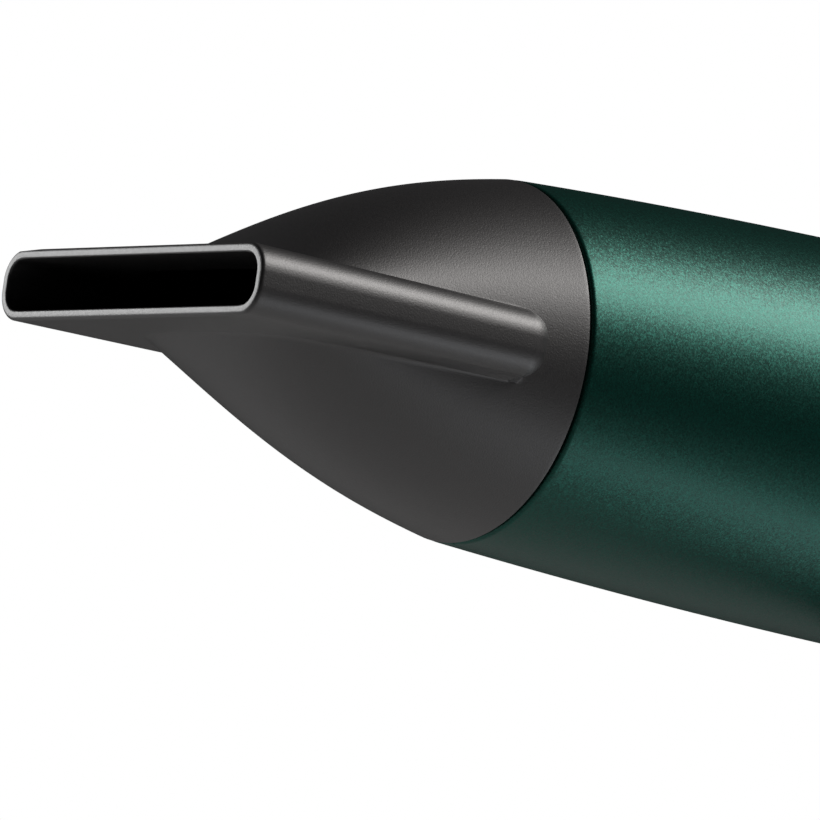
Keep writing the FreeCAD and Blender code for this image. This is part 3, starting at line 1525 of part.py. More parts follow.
def make_foot():
    """The cap that closes the handle, the cord bushing, the cord clamp and the hanging eye."""
    body = new_body("foot_form", "handle")
    sections = []
    for name, station, inset in (("low", FOOT_BELOW, "1.2"), ("high", FOOT, "0")):
        section = new_sketch(body, f"foot_{name}", "XY_Plane", station)
        oval(
            section,
            f"grip_half_width + foot_flare - {inset}",
            f"grip_half_depth + 1.4*foot_flare - {inset}",
        )
        sections.append(section)
    loft(body, "foot_plate", sections)
    spigot_outer = "(housing_wall + spigot_fit)"
    spigot_inner = "(housing_wall + spigot_fit + cap_rim)"
    spigot = cut(
        "spigot",
        oval_prism("spigot_outside", spigot_outer, f"{FOOT} - 1", f"{FOOT} + foot_spigot"),
        oval_prism("spigot_inside", spigot_inner, FOOT, f"{FOOT} + foot_spigot + 1"),
    )
    cord_radius = "cord_bore + bushing_wall"
    cord_hole = cylinder(
        "cord_hole",
        f"{cord_radius} + slide_fit",
        "cap_thickness + 2",
        "handle",
        ("0", "cord_place", f"{FOOT_BELOW} - 1"),
        "z",
    )
    half = "eye_thickness/2"
    eye_slot = centred_box(
        "eye_slot",
        f"{half} + slide_fit",
        "eye_place - eye_stem_half - slide_fit",
        "eye_place + eye_stem_half + slide_fit",
        f"{FOOT_BELOW} - 1",
        f"{FOOT} + 1",
    )
    flange_room = cylinder(
        "flange_room",
        f"{cord_radius} + bushing_flange + slide_fit",
        "2*foot_spigot",
        "handle",
        ("0", "cord_place", FOOT),
        "z",
    )
    head_room = centred_box(
        "head_room",
        f"{half} + eye_hook + slide_fit",
        "eye_place - eye_stem_half - slide_fit",
        "eye_place + eye_stem_half + slide_fit",
        FOOT,
        f"{FOOT} + 2*foot_spigot",
    )
    joined = fuse("foot_cap_joined", body, spigot)
    keep(cut("foot_cap_cut", joined, cord_hole, eye_slot, flange_room, head_room), "foot_cap")

    bushing = cylinder(
        "bushing_tube",
        cord_radius,
        "bushing_below + cap_thickness + bushing_above",
        "handle",
        ("0", "cord_place", f"{FOOT_BELOW} - bushing_below"),
        "z",
    )
    flange = cylinder(
        "bushing_flange_disc",
        f"{cord_radius} + bushing_flange",
        "bushing_flange",
        "handle",
        ("0", "cord_place", FOOT),
        "z",
    )
    bore = cylinder(
        "bushing_bore",
        "cord_bore",
        "bushing_below + cap_thickness + bushing_above + 2",
        "handle",
        ("0", "cord_place", f"{FOOT_BELOW} - bushing_below - 1"),
        "z",
    )
    keep(cut("bushing_bored", fuse("bushing_joined", bushing, flange), bore), "cord_bushing")

    at_eye = (f"-{half}", "eye_place", EYE_CENTRE)
    past_eye = (f"-{half} - 1", "eye_place", EYE_CENTRE)
    eye = cylinder("eye_disc", "eye_radius + eye_wall", "eye_thickness", "handle", at_eye, "x")
    eye_hole = cylinder("eye_hole", "eye_radius", "eye_thickness + 2", "handle", past_eye, "x")
    stem = centred_box(
        "eye_stem",
        half,
        "eye_place - eye_stem_half",
        "eye_place + eye_stem_half",
        f"{EYE_CENTRE} + eye_radius + eye_wall/2",
        f"{FOOT} + eye_hook",
    )
    head = centred_box(
        "eye_head",
        f"{half} + eye_hook",
        "eye_place - eye_stem_half",
        "eye_place + eye_stem_half",
        FOOT,
        f"{FOOT} + eye_hook",
    )
    keep(cut("eye_cut", fuse("eye_joined", eye, stem, head), eye_hole), "hanging_eye")

    clamp_block = centred_box(
        "clamp_block",
        "clamp_half_width",
        "cord_place",
        "cord_place + clamp_depth",
        "clamp_place",
        "clamp_place + clamp_length",
    )
    saddle = cylinder(
        "clamp_saddle",
        "cord_bore - clamp_grip",
        "clamp_length + 2",
        "handle",
        ("0", "cord_place - clamp_grip", "clamp_place - 1"),
        "z",
    )
    screws = []
    holes = []
    tip = "cord_place - clamp_bite"
    length = "clamp_bite + clamp_depth"
    for side, sign in (("right", ""), ("left", "-")):
        at_x = f"{sign}clamp_screw_place"
        up = "clamp_place + clamp_length/2"
        for kind, target in (("clamp_screw_hole", holes), ("clamp_screw_stem", screws)):
            target.append(
                cylinder(f"{kind}_{side}", "clamp_screw", length, "handle", (at_x, tip, up), "y")
            )
        at_head = (at_x, "cord_place + clamp_depth", up)
        head = cylinder(
            f"clamp_screw_head_{side}", "clamp_head", "clamp_head_height", "handle", at_head, "y"
        )
        screws[-1] = fuse(f"clamp_screw_{side}", screws[-1], head)
    keep(cut("clamp_drilled", clamp_block, saddle, *holes), "cord_clamp")
    keep(group("clamp_screws_group", *screws), "clamp_screws")


# ---------------------------------------------------------------- export


def check_and_write():
    """Stops on any failed object or bad shape, then writes one file for each sub-part."""
    doc.recompute()
    failed = [thing.Name for thing in doc.Objects if "Invalid" in thing.State or "Error" in thing.State]
    if failed:
        raise RuntimeError(f"these objects failed: {failed}")
    for thing in nodes:
        if thing.Shape.isNull() or not thing.Shape.isValid() or not thing.Shape.Solids:
            raise RuntimeError(f"{thing.Label} has no valid solid")
    os.makedirs("parts", exist_ok=True)
    for thing in nodes:
        thing.Shape.exportStep(f"parts/{thing.Label}.step")
        print(f"{thing.Label:22s} {len(thing.Shape.Solids):3d} solids {thing.Shape.Volume / 1000:9.3f} cm3")


make_nozzle()
make_collar()
make_outlet()
make_heater()
make_fan_duct()
make_motor()
make_rotor()
make_rear()
make_ioniser()
make_housing()
make_switch_plate()
make_slider("speed", "speed_place")
make_slider("heat", "heat_place")
make_cool_shot()
make_board()
make_foot()
check_and_write()
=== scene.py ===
"""Looks of a hair dryer with a flat concentrator nozzle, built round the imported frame.

The barrel frame used here has its origin on the barrel's axis in the plane of the housing's front edge,
+Y towards the rear. The handle frame has its origin at the hand grip and its +Z up the handle.
"""

import json
import logging
import math
from collections.abc import Sequence
from dataclasses import dataclass, field
from enum import Enum

import bmesh
import bpy
import numpy as np
from mathutils import Matrix, Vector


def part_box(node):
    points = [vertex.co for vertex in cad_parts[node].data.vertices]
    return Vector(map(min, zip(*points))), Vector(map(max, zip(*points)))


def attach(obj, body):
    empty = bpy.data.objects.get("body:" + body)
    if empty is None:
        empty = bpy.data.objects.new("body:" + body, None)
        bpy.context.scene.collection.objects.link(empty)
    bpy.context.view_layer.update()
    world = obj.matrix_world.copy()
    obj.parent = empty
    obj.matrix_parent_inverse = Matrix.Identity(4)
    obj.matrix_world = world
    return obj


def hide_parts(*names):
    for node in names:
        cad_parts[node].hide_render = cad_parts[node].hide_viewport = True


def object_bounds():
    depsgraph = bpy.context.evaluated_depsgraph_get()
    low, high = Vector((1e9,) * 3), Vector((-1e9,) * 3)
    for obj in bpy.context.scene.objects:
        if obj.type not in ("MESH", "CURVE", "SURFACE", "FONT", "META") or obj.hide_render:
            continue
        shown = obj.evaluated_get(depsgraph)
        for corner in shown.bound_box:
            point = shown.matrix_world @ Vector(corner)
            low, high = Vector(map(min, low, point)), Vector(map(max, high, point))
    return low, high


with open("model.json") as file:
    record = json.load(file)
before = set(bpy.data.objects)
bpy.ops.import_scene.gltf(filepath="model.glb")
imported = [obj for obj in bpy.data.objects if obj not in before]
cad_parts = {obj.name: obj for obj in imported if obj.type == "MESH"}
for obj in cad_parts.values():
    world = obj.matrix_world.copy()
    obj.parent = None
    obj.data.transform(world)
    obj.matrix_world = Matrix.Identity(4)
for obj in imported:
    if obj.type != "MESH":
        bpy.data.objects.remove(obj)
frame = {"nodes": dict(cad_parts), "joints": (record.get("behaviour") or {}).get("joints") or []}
CAD_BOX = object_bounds()
MM = 0.001
LOG = logging.getLogger("hair_dryer")
Colour = tuple[float, float, float]
Direction = tuple[float, float, float]
Skin = tuple[np.ndarray, list[list[int]]]


class Socket(Enum):
    """Kinds of node group sockets."""

    COLOUR = "NodeSocketColor"
    VALUE = "NodeSocketFloat"
    VECTOR = "NodeSocketVector"


# ---------------------------------------------------------------- places


@dataclass(frozen=True)
class Places:
    """The two working frames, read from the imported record."""

    barrel: Vector
    lean: float

    @classmethod
    def read(cls) -> "Places":
        """Finds the barrel's origin and the handle's lean from the joints.

        Returns:
            The places.
        """
        joints = {joint["name"]: joint for joint in frame["joints"]}
        up_handle = joints["speed_slide"]["axis"]
        return cls(Vector(joints["nozzle_turn"]["pos_m"]), math.atan2(-up_handle[1], up_handle[2]))

    def from_barrel(self, points: np.ndarray) -> np.ndarray:
        """Barrel frame, millimetres, to row frame, metres.

        Args:
            points: Any array whose last axis is x, y, z.

        Returns:
            The moved points.
        """
        return np.asarray(points) * MM + np.array(self.barrel)

    def from_handle(self, points: np.ndarray) -> np.ndarray:
        """Handle frame, millimetres, to row frame, metres.

        Args:
            points: Any array whose last axis is x, y, z.

        Returns:
            The turned and scaled points.
        """
        p = np.asarray(points)
        s, c = math.sin(self.lean), math.cos(self.lean)
        turned = np.stack((p[..., 0], p[..., 1] * c - p[..., 2] * s, p[..., 1] * s + p[..., 2] * c), -1)
        return turned * MM

    def handle_to_barrel(self, points: np.ndarray) -> np.ndarray:
        """Handle frame to barrel frame, both in millimetres.

        Args:
            points: Any array whose last axis is x, y, z.

        Returns:
            The same points in the barrel frame.
        """
        return (self.from_handle(points) - np.array(self.barrel)) / MM


PLACES = Places.read()


# ---------------------------------------------------------------- shader groups


class GroupBuilder:
    """Builds a shader node group with named inputs and outputs."""

    def __init__(self, name: str) -> None:
        """Starts an empty group.

        Args:
            name: The group's name.
        """
        self.tree = bpy.data.node_groups.new(name, "ShaderNodeTree")
        self.inside = self.tree.nodes.new("NodeGroupInput")
        self.outside = self.tree.nodes.new("NodeGroupOutput")

    def takes(self, name: str, kind: Socket, default: float | Colour) -> None:
        """Adds an input.

        Args:
            name: The input's name.
            kind: The kind of socket.
            default: Its value when nothing is linked.
        """
        made = self.tree.interface.new_socket(name, in_out="INPUT", socket_type=kind.value)
        made.default_value = (*default, 1.0) if kind is Socket.COLOUR else default

    def gives(self, name: str, kind: Socket, source: bpy.types.NodeSocket) -> None:
        """Adds an output and links it.

        Args:
            name: The output's name.
            kind: The kind of socket.
            source: The socket that feeds it.
        """
        self.tree.interface.new_socket(name, in_out="OUTPUT", socket_type=kind.value)
        self.tree.links.new(source, self.outside.inputs[name])

    def node(self, kind: str, **settings: object) -> bpy.types.Node:
        """Adds a node.

        Args:
            kind: The node's type.
            settings: Properties to set on it.

        Returns:
            The node.
        """
        made = self.tree.nodes.new(kind)
        for name, value in settings.items():
            setattr(made, name, value)
        return made

    def maths(self, operation: str, *values: float | bpy.types.NodeSocket) -> bpy.types.NodeSocket:
        """Adds a Math node.

        Args:
            operation: The operation.
            values: Numbers or sockets for its inputs.

        Returns:
            The result's socket.
        """
        made = self.node("ShaderNodeMath", operation=operation)
        for i, value in enumerate(values):
            if isinstance(value, bpy.types.NodeSocket):
                self.tree.links.new(value, made.inputs[i])
            else:
                made.inputs[i].default_value = value
        return made.outputs[0]

    def link(self, source: bpy.types.NodeSocket, target: bpy.types.NodeSocket) -> None:
        """Links two sockets."""
        self.tree.links.new(source, target)


def moulded_grain() -> bpy.types.NodeTree:
    """Spark-eroded mould grain: a fine height, sparkle in the roughness and a faint tone variation.

    Returns:
        The group.
    """
    group = GroupBuilder("moulded_grain")
    group.takes("Grain Size", Socket.VALUE, 0.0003)
    group.takes("Roughness", Socket.VALUE, 0.45)
    group.takes("Roughness Spread", Socket.VALUE, 0.12)
    group.takes("Colour", Socket.COLOUR, (0.02, 0.02, 0.02))
    group.takes("Tone Spread", Socket.VALUE, 0.15)
    place = group.node("ShaderNodeTexCoord").outputs["Object"]
    scale = group.maths("DIVIDE", 1.0, group.inside.outputs["Grain Size"])
    fine = group.node("ShaderNodeTexNoise")
    fine.inputs["Detail"].default_value = 2.0
    fine.inputs["Roughness"].default_value = 0.65
    group.link(place, fine.inputs["Vector"])
    group.link(scale, fine.inputs["Scale"])
    broad = group.node("ShaderNodeTexNoise")
    broad.inputs["Scale"].default_value = 60.0
    broad.inputs["Detail"].default_value = 3.0
    group.link(place, broad.inputs["Vector"])
    swing = group.maths("SUBTRACT", fine.outputs["Fac"], 0.5)
    given = group.inside.outputs
    rough = group.maths("MULTIPLY_ADD", swing, given["Roughness Spread"], given["Roughness"])
    slow = group.maths("SUBTRACT", broad.outputs["Fac"], 0.5)
    both = group.maths("MULTIPLY_ADD", slow, 0.5, swing)
    tone = group.maths("MULTIPLY_ADD", both, group.inside.outputs["Tone Spread"], 1.0)
    tint = group.node("ShaderNodeVectorMath", operation="SCALE")
    group.link(group.inside.outputs["Colour"], tint.inputs[0])
    group.link(tone, tint.inputs["Scale"])
    group.gives("Colour", Socket.COLOUR, tint.outputs[0])
    group.gives("Roughness", Socket.VALUE, rough)
    group.gives("Height", Socket.VALUE, fine.outputs["Fac"])
    return group.tree


def paint_flake() -> bpy.types.NodeTree:
    """Metal flake in paint: a value per flake, used for tone, and a tilted normal per flake.

    Returns:
        The group.
    """
    group = GroupBuilder("paint_flake")
    group.takes("Flake Size", Socket.VALUE, 0.00022)
    group.takes("Tilt", Socket.VALUE, 0.18)
    group.takes("Colour", Socket.COLOUR, (0.0, 0.1, 0.07))
    group.takes("Tone Spread", Socket.VALUE, 0.5)
    place = group.node("ShaderNodeTexCoord").outputs["Object"]
    scale = group.maths("DIVIDE", 1.0, group.inside.outputs["Flake Size"])
    cells = group.node("ShaderNodeTexVoronoi")
    group.link(place, cells.inputs["Vector"])
    group.link(scale, cells.inputs["Scale"])
    centred = group.node("ShaderNodeVectorMath", operation="SUBTRACT")
    centred.inputs[1].default_value = (0.5, 0.5, 0.5)
    group.link(cells.outputs["Color"], centred.inputs[0])
    tilt = group.node("ShaderNodeVectorMath", operation="SCALE")
    group.link(centred.outputs[0], tilt.inputs[0])
    group.link(group.inside.outputs["Tilt"], tilt.inputs["Scale"])
    normal = group.node("ShaderNodeNewGeometry").outputs["Normal"]
    lean = group.node("ShaderNodeVectorMath", operation="ADD")
    group.link(normal, lean.inputs[0])
    group.link(tilt.outputs[0], lean.inputs[1])
    unit = group.node("ShaderNodeVectorMath", operation="NORMALIZE")
    group.link(lean.outputs[0], unit.inputs[0])
    split = group.node("ShaderNodeSeparateColor")
    group.link(cells.outputs["Color"], split.inputs[0])
    swing = group.maths("SUBTRACT", split.outputs[0], 0.5)
    tone = group.maths("MULTIPLY_ADD", swing, group.inside.outputs["Tone Spread"], 1.0)
    tint = group.node("ShaderNodeVectorMath", operation="SCALE")
    group.link(group.inside.outputs["Colour"], tint.inputs[0])
    group.link(tone, tint.inputs["Scale"])
    group.gives("Colour", Socket.COLOUR, tint.outputs[0])
    group.gives("Normal", Socket.VECTOR, unit.outputs[0])
    return group.tree


def settled_dust() -> bpy.types.NodeTree:
    """A faint mask of dust that settles on faces that look up, broken by noise.

    Returns:
        The group.
    """
    group = GroupBuilder("settled_dust")
    group.takes("Amount", Socket.VALUE, 0.03)
    normal = group.node("ShaderNodeNewGeometry").outputs["Normal"]
    split = group.node("ShaderNodeSeparateXYZ")
    group.link(normal, split.inputs[0])
    upward = group.maths("MAXIMUM", split.outputs["Z"], 0.0)
    specks = group.node("ShaderNodeTexNoise")
    specks.inputs["Scale"].default_value = 900.0
    specks.inputs["Detail"].default_value = 4.0
    group.link(group.node("ShaderNodeTexCoord").outputs["Object"], specks.inputs["Vector"])
    sparse = group.maths("POWER", specks.outputs["Fac"], 3.0)
    mask = group.maths("MULTIPLY", group.maths("MULTIPLY", upward, sparse), group.inside.outputs["Amount"])
    group.gives("Mask", Socket.VALUE, mask)
    return group.tree


def edge_wear() -> bpy.types.NodeTree:
    """A mask of convex edges, from how far a rounded normal leans from the true one.

    Returns:
        The group.
    """
    group = GroupBuilder("edge_wear")
    group.takes("Radius", Socket.VALUE, 0.0004)
    group.takes("Amount", Socket.VALUE, 0.5)
    soft = group.node("ShaderNodeBevel", samples=4)
    group.link(group.inside.outputs["Radius"], soft.inputs["Radius"])
    normal = group.node("ShaderNodeNewGeometry").outputs["Normal"]
    dot = group.node("ShaderNodeVectorMath", operation="DOT_PRODUCT")
    group.link(soft.outputs[0], dot.inputs[0])
    group.link(normal, dot.inputs[1])
    lean = group.maths("SUBTRACT", 1.0, dot.outputs["Value"])
    strong = group.maths("MINIMUM", group.maths("MULTIPLY", lean, 6.0), 1.0)
    mask = group.maths("MULTIPLY", strong, group.inside.outputs["Amount"])
    group.gives("Mask", Socket.VALUE, mask)
    return group.tree


@dataclass
class Effects:
    """The shared shader groups, each built once."""

    grain: bpy.types.NodeTree = field(default_factory=moulded_grain)
    flake: bpy.types.NodeTree = field(default_factory=paint_flake)
    dust: bpy.types.NodeTree = field(default_factory=settled_dust)
    wear: bpy.types.NodeTree = field(default_factory=edge_wear)


EFFECTS = Effects()


class Mixer:
    """A material's own node tree, with its Principled shader."""

    def __init__(self, name: str) -> None:
        """Starts a material.

        Args:
            name: The material's name.
        """
        self.material = bpy.data.materials.new(name)
        self.material.use_nodes = True
        self.tree = self.material.node_tree
        self.shader = next(node for node in self.tree.nodes if node.type == "BSDF_PRINCIPLED")

    def set(self, **values: float | Colour) -> None:
        """Sets the shader's own sockets.

        Args:
            values: Socket names, with underscores for spaces, and their values.
        """
        for name, value in values.items():
            whole = (*value, 1.0) if isinstance(value, tuple) else value
            self.shader.inputs[name.replace("_", " ")].default_value = whole

    def group(self, tree: bpy.types.NodeTree, **values: float | Colour) -> bpy.types.Node:
        """Places a shared effect.

        Args:
            tree: The effect's group.
            values: Socket names, with underscores for spaces, and their values.

        Returns:
            The group's node.
        """
        made = self.tree.nodes.new("ShaderNodeGroup")
        made.node_tree = tree
        for name, value in values.items():
            whole = (*value, 1.0) if isinstance(value, tuple) else value
            made.inputs[name.replace("_", " ")].default_value = whole
        return made

    def feed(self, source: bpy.types.NodeSocket, name: str) -> None:
        """Links a socket to one of the shader's inputs."""
        self.tree.links.new(source, self.shader.inputs[name])

    def bump(self, height: bpy.types.NodeSocket, depth: float) -> None:
        """Adds a Bump node that feeds the shader's normal.

        Args:
            height: The height, from 0 to 1.
            depth: What a height of 1 stands for, in metres.
        """
        made = self.tree.nodes.new("ShaderNodeBump")
        made.inputs["Distance"].default_value = depth
        self.tree.links.new(height, made.inputs["Height"])
        self.tree.links.new(made.outputs[0], self.shader.inputs["Normal"])

    def blend(
        self, mask: bpy.types.NodeSocket, low: bpy.types.NodeSocket, high: Colour
    ) -> bpy.types.NodeSocket:
        """Mixes a colour over another by a mask.

        Args:
            mask: Where the second colour shows.
            low: The colour below.
            high: The colour above.

        Returns:
            The mixed colour.
        """
        made = self.tree.nodes.new("ShaderNodeMix")
        made.data_type = "RGBA"
        self.tree.links.new(mask, made.inputs["Factor"])
        colours = [socket for socket in made.inputs if socket.type == "RGBA"]
        self.tree.links.new(low, colours[0])
        colours[1].default_value = (*high, 1.0)
        return next(socket for socket in made.outputs if socket.type == "RGBA")


# ---------------------------------------------------------------- finishes


@dataclass(frozen=True)
class MouldedPlastic:
    """Matte or satin moulded plastic with a mould grain."""

    name: str
    colour: Colour
    roughness: float = 0.45
    roughness_spread: float = 0.16
    grain_size: float = 0.00030
    grain_depth: float = 0.00002
    specular: float = 0.5
    tone_spread: float = 0.3
    dust: float = 0.03
    wear: float = 0.0
    coat: float = 0.0
    coat_roughness: float = 0.4
    dust_colour: Colour = (0.45, 0.43, 0.4)

    def worn_colour(self) -> Colour:
        """The paler tone of a rubbed edge."""
        return tuple(min(1.0, 3.0 * c + 0.02) for c in self.colour)

    def material(self) -> bpy.types.Material:
        """Builds the material.

        Returns:
            The material.
        """
        mixer = Mixer(self.name)
        grain = mixer.group(
            EFFECTS.grain,
            Grain_Size=self.grain_size,
            Roughness=self.roughness,
            Roughness_Spread=self.roughness_spread,
            Colour=self.colour,
            Tone_Spread=self.tone_spread,
        )
        mixer.set(
            Specular_IOR_Level=self.specular, Coat_Weight=self.coat, Coat_Roughness=self.coat_roughness
        )
        colour = grain.outputs["Colour"]
        if self.dust:
            dust = mixer.group(EFFECTS.dust, Amount=self.dust)
            colour = mixer.blend(dust.outputs["Mask"], colour, self.dust_colour)
        if self.wear:
            wear = mixer.group(EFFECTS.wear, Amount=self.wear)
            colour = mixer.blend(wear.outputs["Mask"], colour, self.worn_colour())
        mixer.feed(colour, "Base Color")
        mixer.feed(grain.outputs["Roughness"], "Roughness")
        mixer.bump(grain.outputs["Height"], self.grain_depth)
        return mixer.material


@dataclass(frozen=True)
class FlakePaint:
    """Satin metallic paint: tinted flake under a soft clear coat."""

    name: str
    colour: Colour
    roughness: float = 0.4
    metallic: float = 0.75
    coat: float = 0.3
    coat_roughness: float = 0.34
    flake_size: float = 0.00024
    tilt: float = 0.16
    tone_spread: float = 0.6
    coat_index: float = 1.5
    grain_size: float = 0.0004
    grain_spread: float = 0.08
    dust: float = 0.012
    dust_colour: Colour = (0.4, 0.42, 0.4)

    def material(self) -> bpy.types.Material:
        """Builds the material.

        Returns:
            The material.
        """
        mixer = Mixer(self.name)
        flake = mixer.group(
            EFFECTS.flake,
            Flake_Size=self.flake_size,
            Tilt=self.tilt,
            Colour=self.colour,
            Tone_Spread=self.tone_spread,
        )
        grain = mixer.group(
            EFFECTS.grain,
            Grain_Size=self.grain_size,
            Roughness=self.roughness,
            Roughness_Spread=self.grain_spread,
        )
        mixer.set(
            Metallic=self.metallic,
            Coat_Weight=self.coat,
            Coat_Roughness=self.coat_roughness,
            Coat_IOR=self.coat_index,
        )
        dust = mixer.group(EFFECTS.dust, Amount=self.dust)
        colour = mixer.blend(dust.outputs["Mask"], flake.outputs["Colour"], self.dust_colour)
        mixer.feed(colour, "Base Color")
        mixer.feed(grain.outputs["Roughness"], "Roughness")
        mixer.feed(flake.outputs["Normal"], "Normal")
        return mixer.material


@dataclass(frozen=True)
class DrawnMetal:
    """Bare or plated metal with fine marks."""

    name: str
    colour: Colour
    roughness: float = 0.3
    grain_size: float = 0.0005
    grain_depth: float = 0.000006

    def material(self) -> bpy.types.Material:
        """Builds the material.

        Returns:
            The material.
        """
        mixer = Mixer(self.name)
        grain = mixer.group(
            EFFECTS.grain,
            Grain_Size=self.grain_size,
            Roughness=self.roughness,
            Roughness_Spread=0.25,
            Colour=self.colour,
            Tone_Spread=0.35,
        )
        mixer.set(Metallic=1.0)
        mixer.feed(grain.outputs["Colour"], "Base Color")
        mixer.feed(grain.outputs["Roughness"], "Roughness")
        mixer.bump(grain.outputs["Height"], self.grain_depth)
        return mixer.material


@dataclass(frozen=True)
class PressedMica:
    """Silvery layered mica sheet."""

    name: str
    colour: Colour = (0.5, 0.43, 0.3)

    def material(self) -> bpy.types.Material:
        """Builds the material.

        Returns:
            The material.
        """
        mixer = Mixer(self.name)
        flake = mixer.group(
            EFFECTS.flake, Flake_Size=0.0012, Tilt=0.12, Colour=self.colour, Tone_Spread=0.7
        )
        grain = mixer.group(EFFECTS.grain, Grain_Size=0.0008, Roughness=0.4, Roughness_Spread=0.3)
        mixer.set(Metallic=0.25)
        mixer.feed(flake.outputs["Colour"], "Base Color")
        mixer.feed(grain.outputs["Roughness"], "Roughness")
        mixer.feed(flake.outputs["Normal"], "Normal")
        return mixer.material


@dataclass
class Palette:
    """Every finish of the dryer, by what it is used for."""

    nozzle: MouldedPlastic = MouldedPlastic(
        "nozzle_charcoal",
        (0.018, 0.0168, 0.0178),
        roughness=0.48,
        roughness_spread=0.22,
        grain_size=0.00032,
        grain_depth=0.00006,
        specular=1.0,
        tone_spread=0.5,
        coat=0.6,
    )
    paint: FlakePaint = FlakePaint("deep_green_paint", (0.0008, 0.075, 0.054))
    trim: MouldedPlastic = MouldedPlastic("trim_black", (0.016, 0.0155, 0.016), 0.42, wear=0.25)
    inner: MouldedPlastic = MouldedPlastic("inner_black", (0.02, 0.02, 0.022), 0.5, dust=0.06)
    button: MouldedPlastic = MouldedPlastic("button_grey", (0.10, 0.105, 0.105), 0.36, wear=0.2)
    rubber: MouldedPlastic = MouldedPlastic("soft_rubber", (0.018, 0.018, 0.018), 0.62, specular=0.35)
    mica: PressedMica = PressedMica("pressed_mica")
    wire: DrawnMetal = DrawnMetal("resistance_wire", (0.36, 0.31, 0.27), 0.42)
    steel: DrawnMetal = DrawnMetal("plated_steel", (0.62, 0.62, 0.6), 0.28)
    dark_steel: DrawnMetal = DrawnMetal("lamination_steel", (0.2, 0.2, 0.21), 0.45)
    brass: DrawnMetal = DrawnMetal("plated_brass", (0.6, 0.46, 0.22), 0.3)
    copper: DrawnMetal = DrawnMetal("enamelled_copper", (0.6, 0.26, 0.13), 0.25)
    ferrite: MouldedPlastic = MouldedPlastic("ferrite", (0.05, 0.05, 0.052), 0.55, grain_size=0.0006)
    board: MouldedPlastic = MouldedPlastic("solder_resist", (0.02, 0.13, 0.05), 0.3, dust=0.0)
    parts: MouldedPlastic = MouldedPlastic("dipped_parts", (0.35, 0.09, 0.03), 0.3, dust=0.0)
    made: dict[str, bpy.types.Material] = field(default_factory=dict)

    def get(self, finish: str) -> bpy.types.Material:
        """The material of a finish, built when first asked for.

        Args:
            finish: The finish's field name.

        Returns:
            The material.
        """
        if finish not in self.made:
            self.made[finish] = getattr(self, finish).material()
        return self.made[finish]


# ---------------------------------------------------------------- mesh work

WELD = 1e-6
FLAT_ANGLE = 0.3
ROUNDED_ANGLE = 40
SHARP_ANGLE = 50


def new_piece(
    name: str,
    vertices: np.ndarray,
    faces: Sequence[Sequence[int]],
    material: bpy.types.Material,
    body: str,
    crease: float = 40.0,
) -> bpy.types.Object:
    """Makes a piece from points in the row frame, smooth except at sharp edges.

    Args:
        name: The piece's name.
        vertices: Points in metres.
        faces: Lists of point numbers.
        material: Its material.
        body: The CAD body that it moves with.
        crease: Edges that turn more than this many degrees stay sharp.

    Returns:
        The piece.
    """
    mesh = bpy.data.meshes.new(name)
    mesh.from_pydata([tuple(v) for v in np.asarray(vertices).reshape(-1, 3)], [], [list(f) for f in faces])
    mesh.validate()
    mesh.update()
    work = bmesh.new()
    work.from_mesh(mesh)
    bmesh.ops.recalc_face_normals(work, faces=work.faces)
    work.to_mesh(mesh)
    work.free()
    mesh.materials.append(material)
    mesh.shade_smooth()
    mesh.set_sharp_from_angle(angle=math.radians(crease))
    piece = bpy.data.objects.new(name, mesh)
    bpy.context.scene.collection.objects.link(piece)
    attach(piece, body)
    LOG.info("%s: %d faces, rides on %s", name, len(mesh.polygons), body)
    return piece


def loop_faces(rows: int, columns: int, wrap_rows: bool) -> list[list[int]]:
    """Quads of a grid of points whose columns close on themselves.

    Args:
        rows: Points one way.
        columns: Points the other way.
        wrap_rows: Whether the last row joins the first.

    Returns:
        The faces.
    """
    faces = []
    for i in range(rows if wrap_rows else rows - 1):
        for j in range(columns):
            a, b = i * columns, ((i + 1) % rows) * columns
            k = (j + 1) % columns
            faces.append([a + j, a + k, b + k, b + j])
    return faces


def circle_through(points: Sequence[tuple[float, float]]) -> tuple[float, float, float]:
    """The circle through three points.

    Args:
        points: Three points of a plane.

    Returns:
        The centre's two places and the radius.
    """
    (ax, ay), (bx, by), (cx, cy) = points
    d = 2 * (ax * (by - cy) + bx * (cy - ay) + cx * (ay - by))
    a, b, c = ax * ax + ay * ay, bx * bx + by * by, cx * cx + cy * cy
    x = (a * (by - cy) + b * (cy - ay) + c * (ay - by)) / d
    y = (a * (cx - bx) + b * (ax - cx) + c * (bx - ax)) / d
    return x, y, math.hypot(ax - x, ay - y)


def smooth_least(a: np.ndarray, b: np.ndarray, width: float) -> np.ndarray:
    """The lesser of two distances, blended where they are near each other.

    Args:
        a: Some distances.
        b: The others.
        width: How near each other they start to blend.

    Returns:
        The blended distances.
    """
    h = np.maximum(width - np.abs(a - b), 0.0) / width
    return np.minimum(a, b) - h * h * width * 0.25


def turned_skin(profile: Sequence[tuple[float, float]], sides: int) -> Skin:
    """A closed ring of a closed profile turned about the barrel's axis.

    Args:
        profile: (along, radius) points in millimetres, in order round the section.
        sides: Points round the axis.

    Returns:
        Points in the barrel frame, and faces.
    """
    p = np.asarray(profile)
    turn = np.linspace(0, 2 * math.pi, sides, endpoint=False)[:, None]
    along = np.broadcast_to(p[:, 0], (sides, len(p)))
    points = np.stack((p[:, 1] * np.cos(turn), along, p[:, 1] * np.sin(turn)), -1)
    return points.reshape(-1, 3), loop_faces(sides, len(p), True)


def evaluated_copy(piece: bpy.types.Object) -> None:
    """Applies every modifier of a piece to its mesh.

    Args:
        piece: The piece.
    """
    bpy.context.view_layer.update()
    graph = bpy.context.evaluated_depsgraph_get()
    mesh = bpy.data.meshes.new_from_object(piece.evaluated_get(graph), depsgraph=graph)
    piece.modifiers.clear()
    old = piece.data
    piece.data = mesh
    bpy.data.meshes.remove(old)


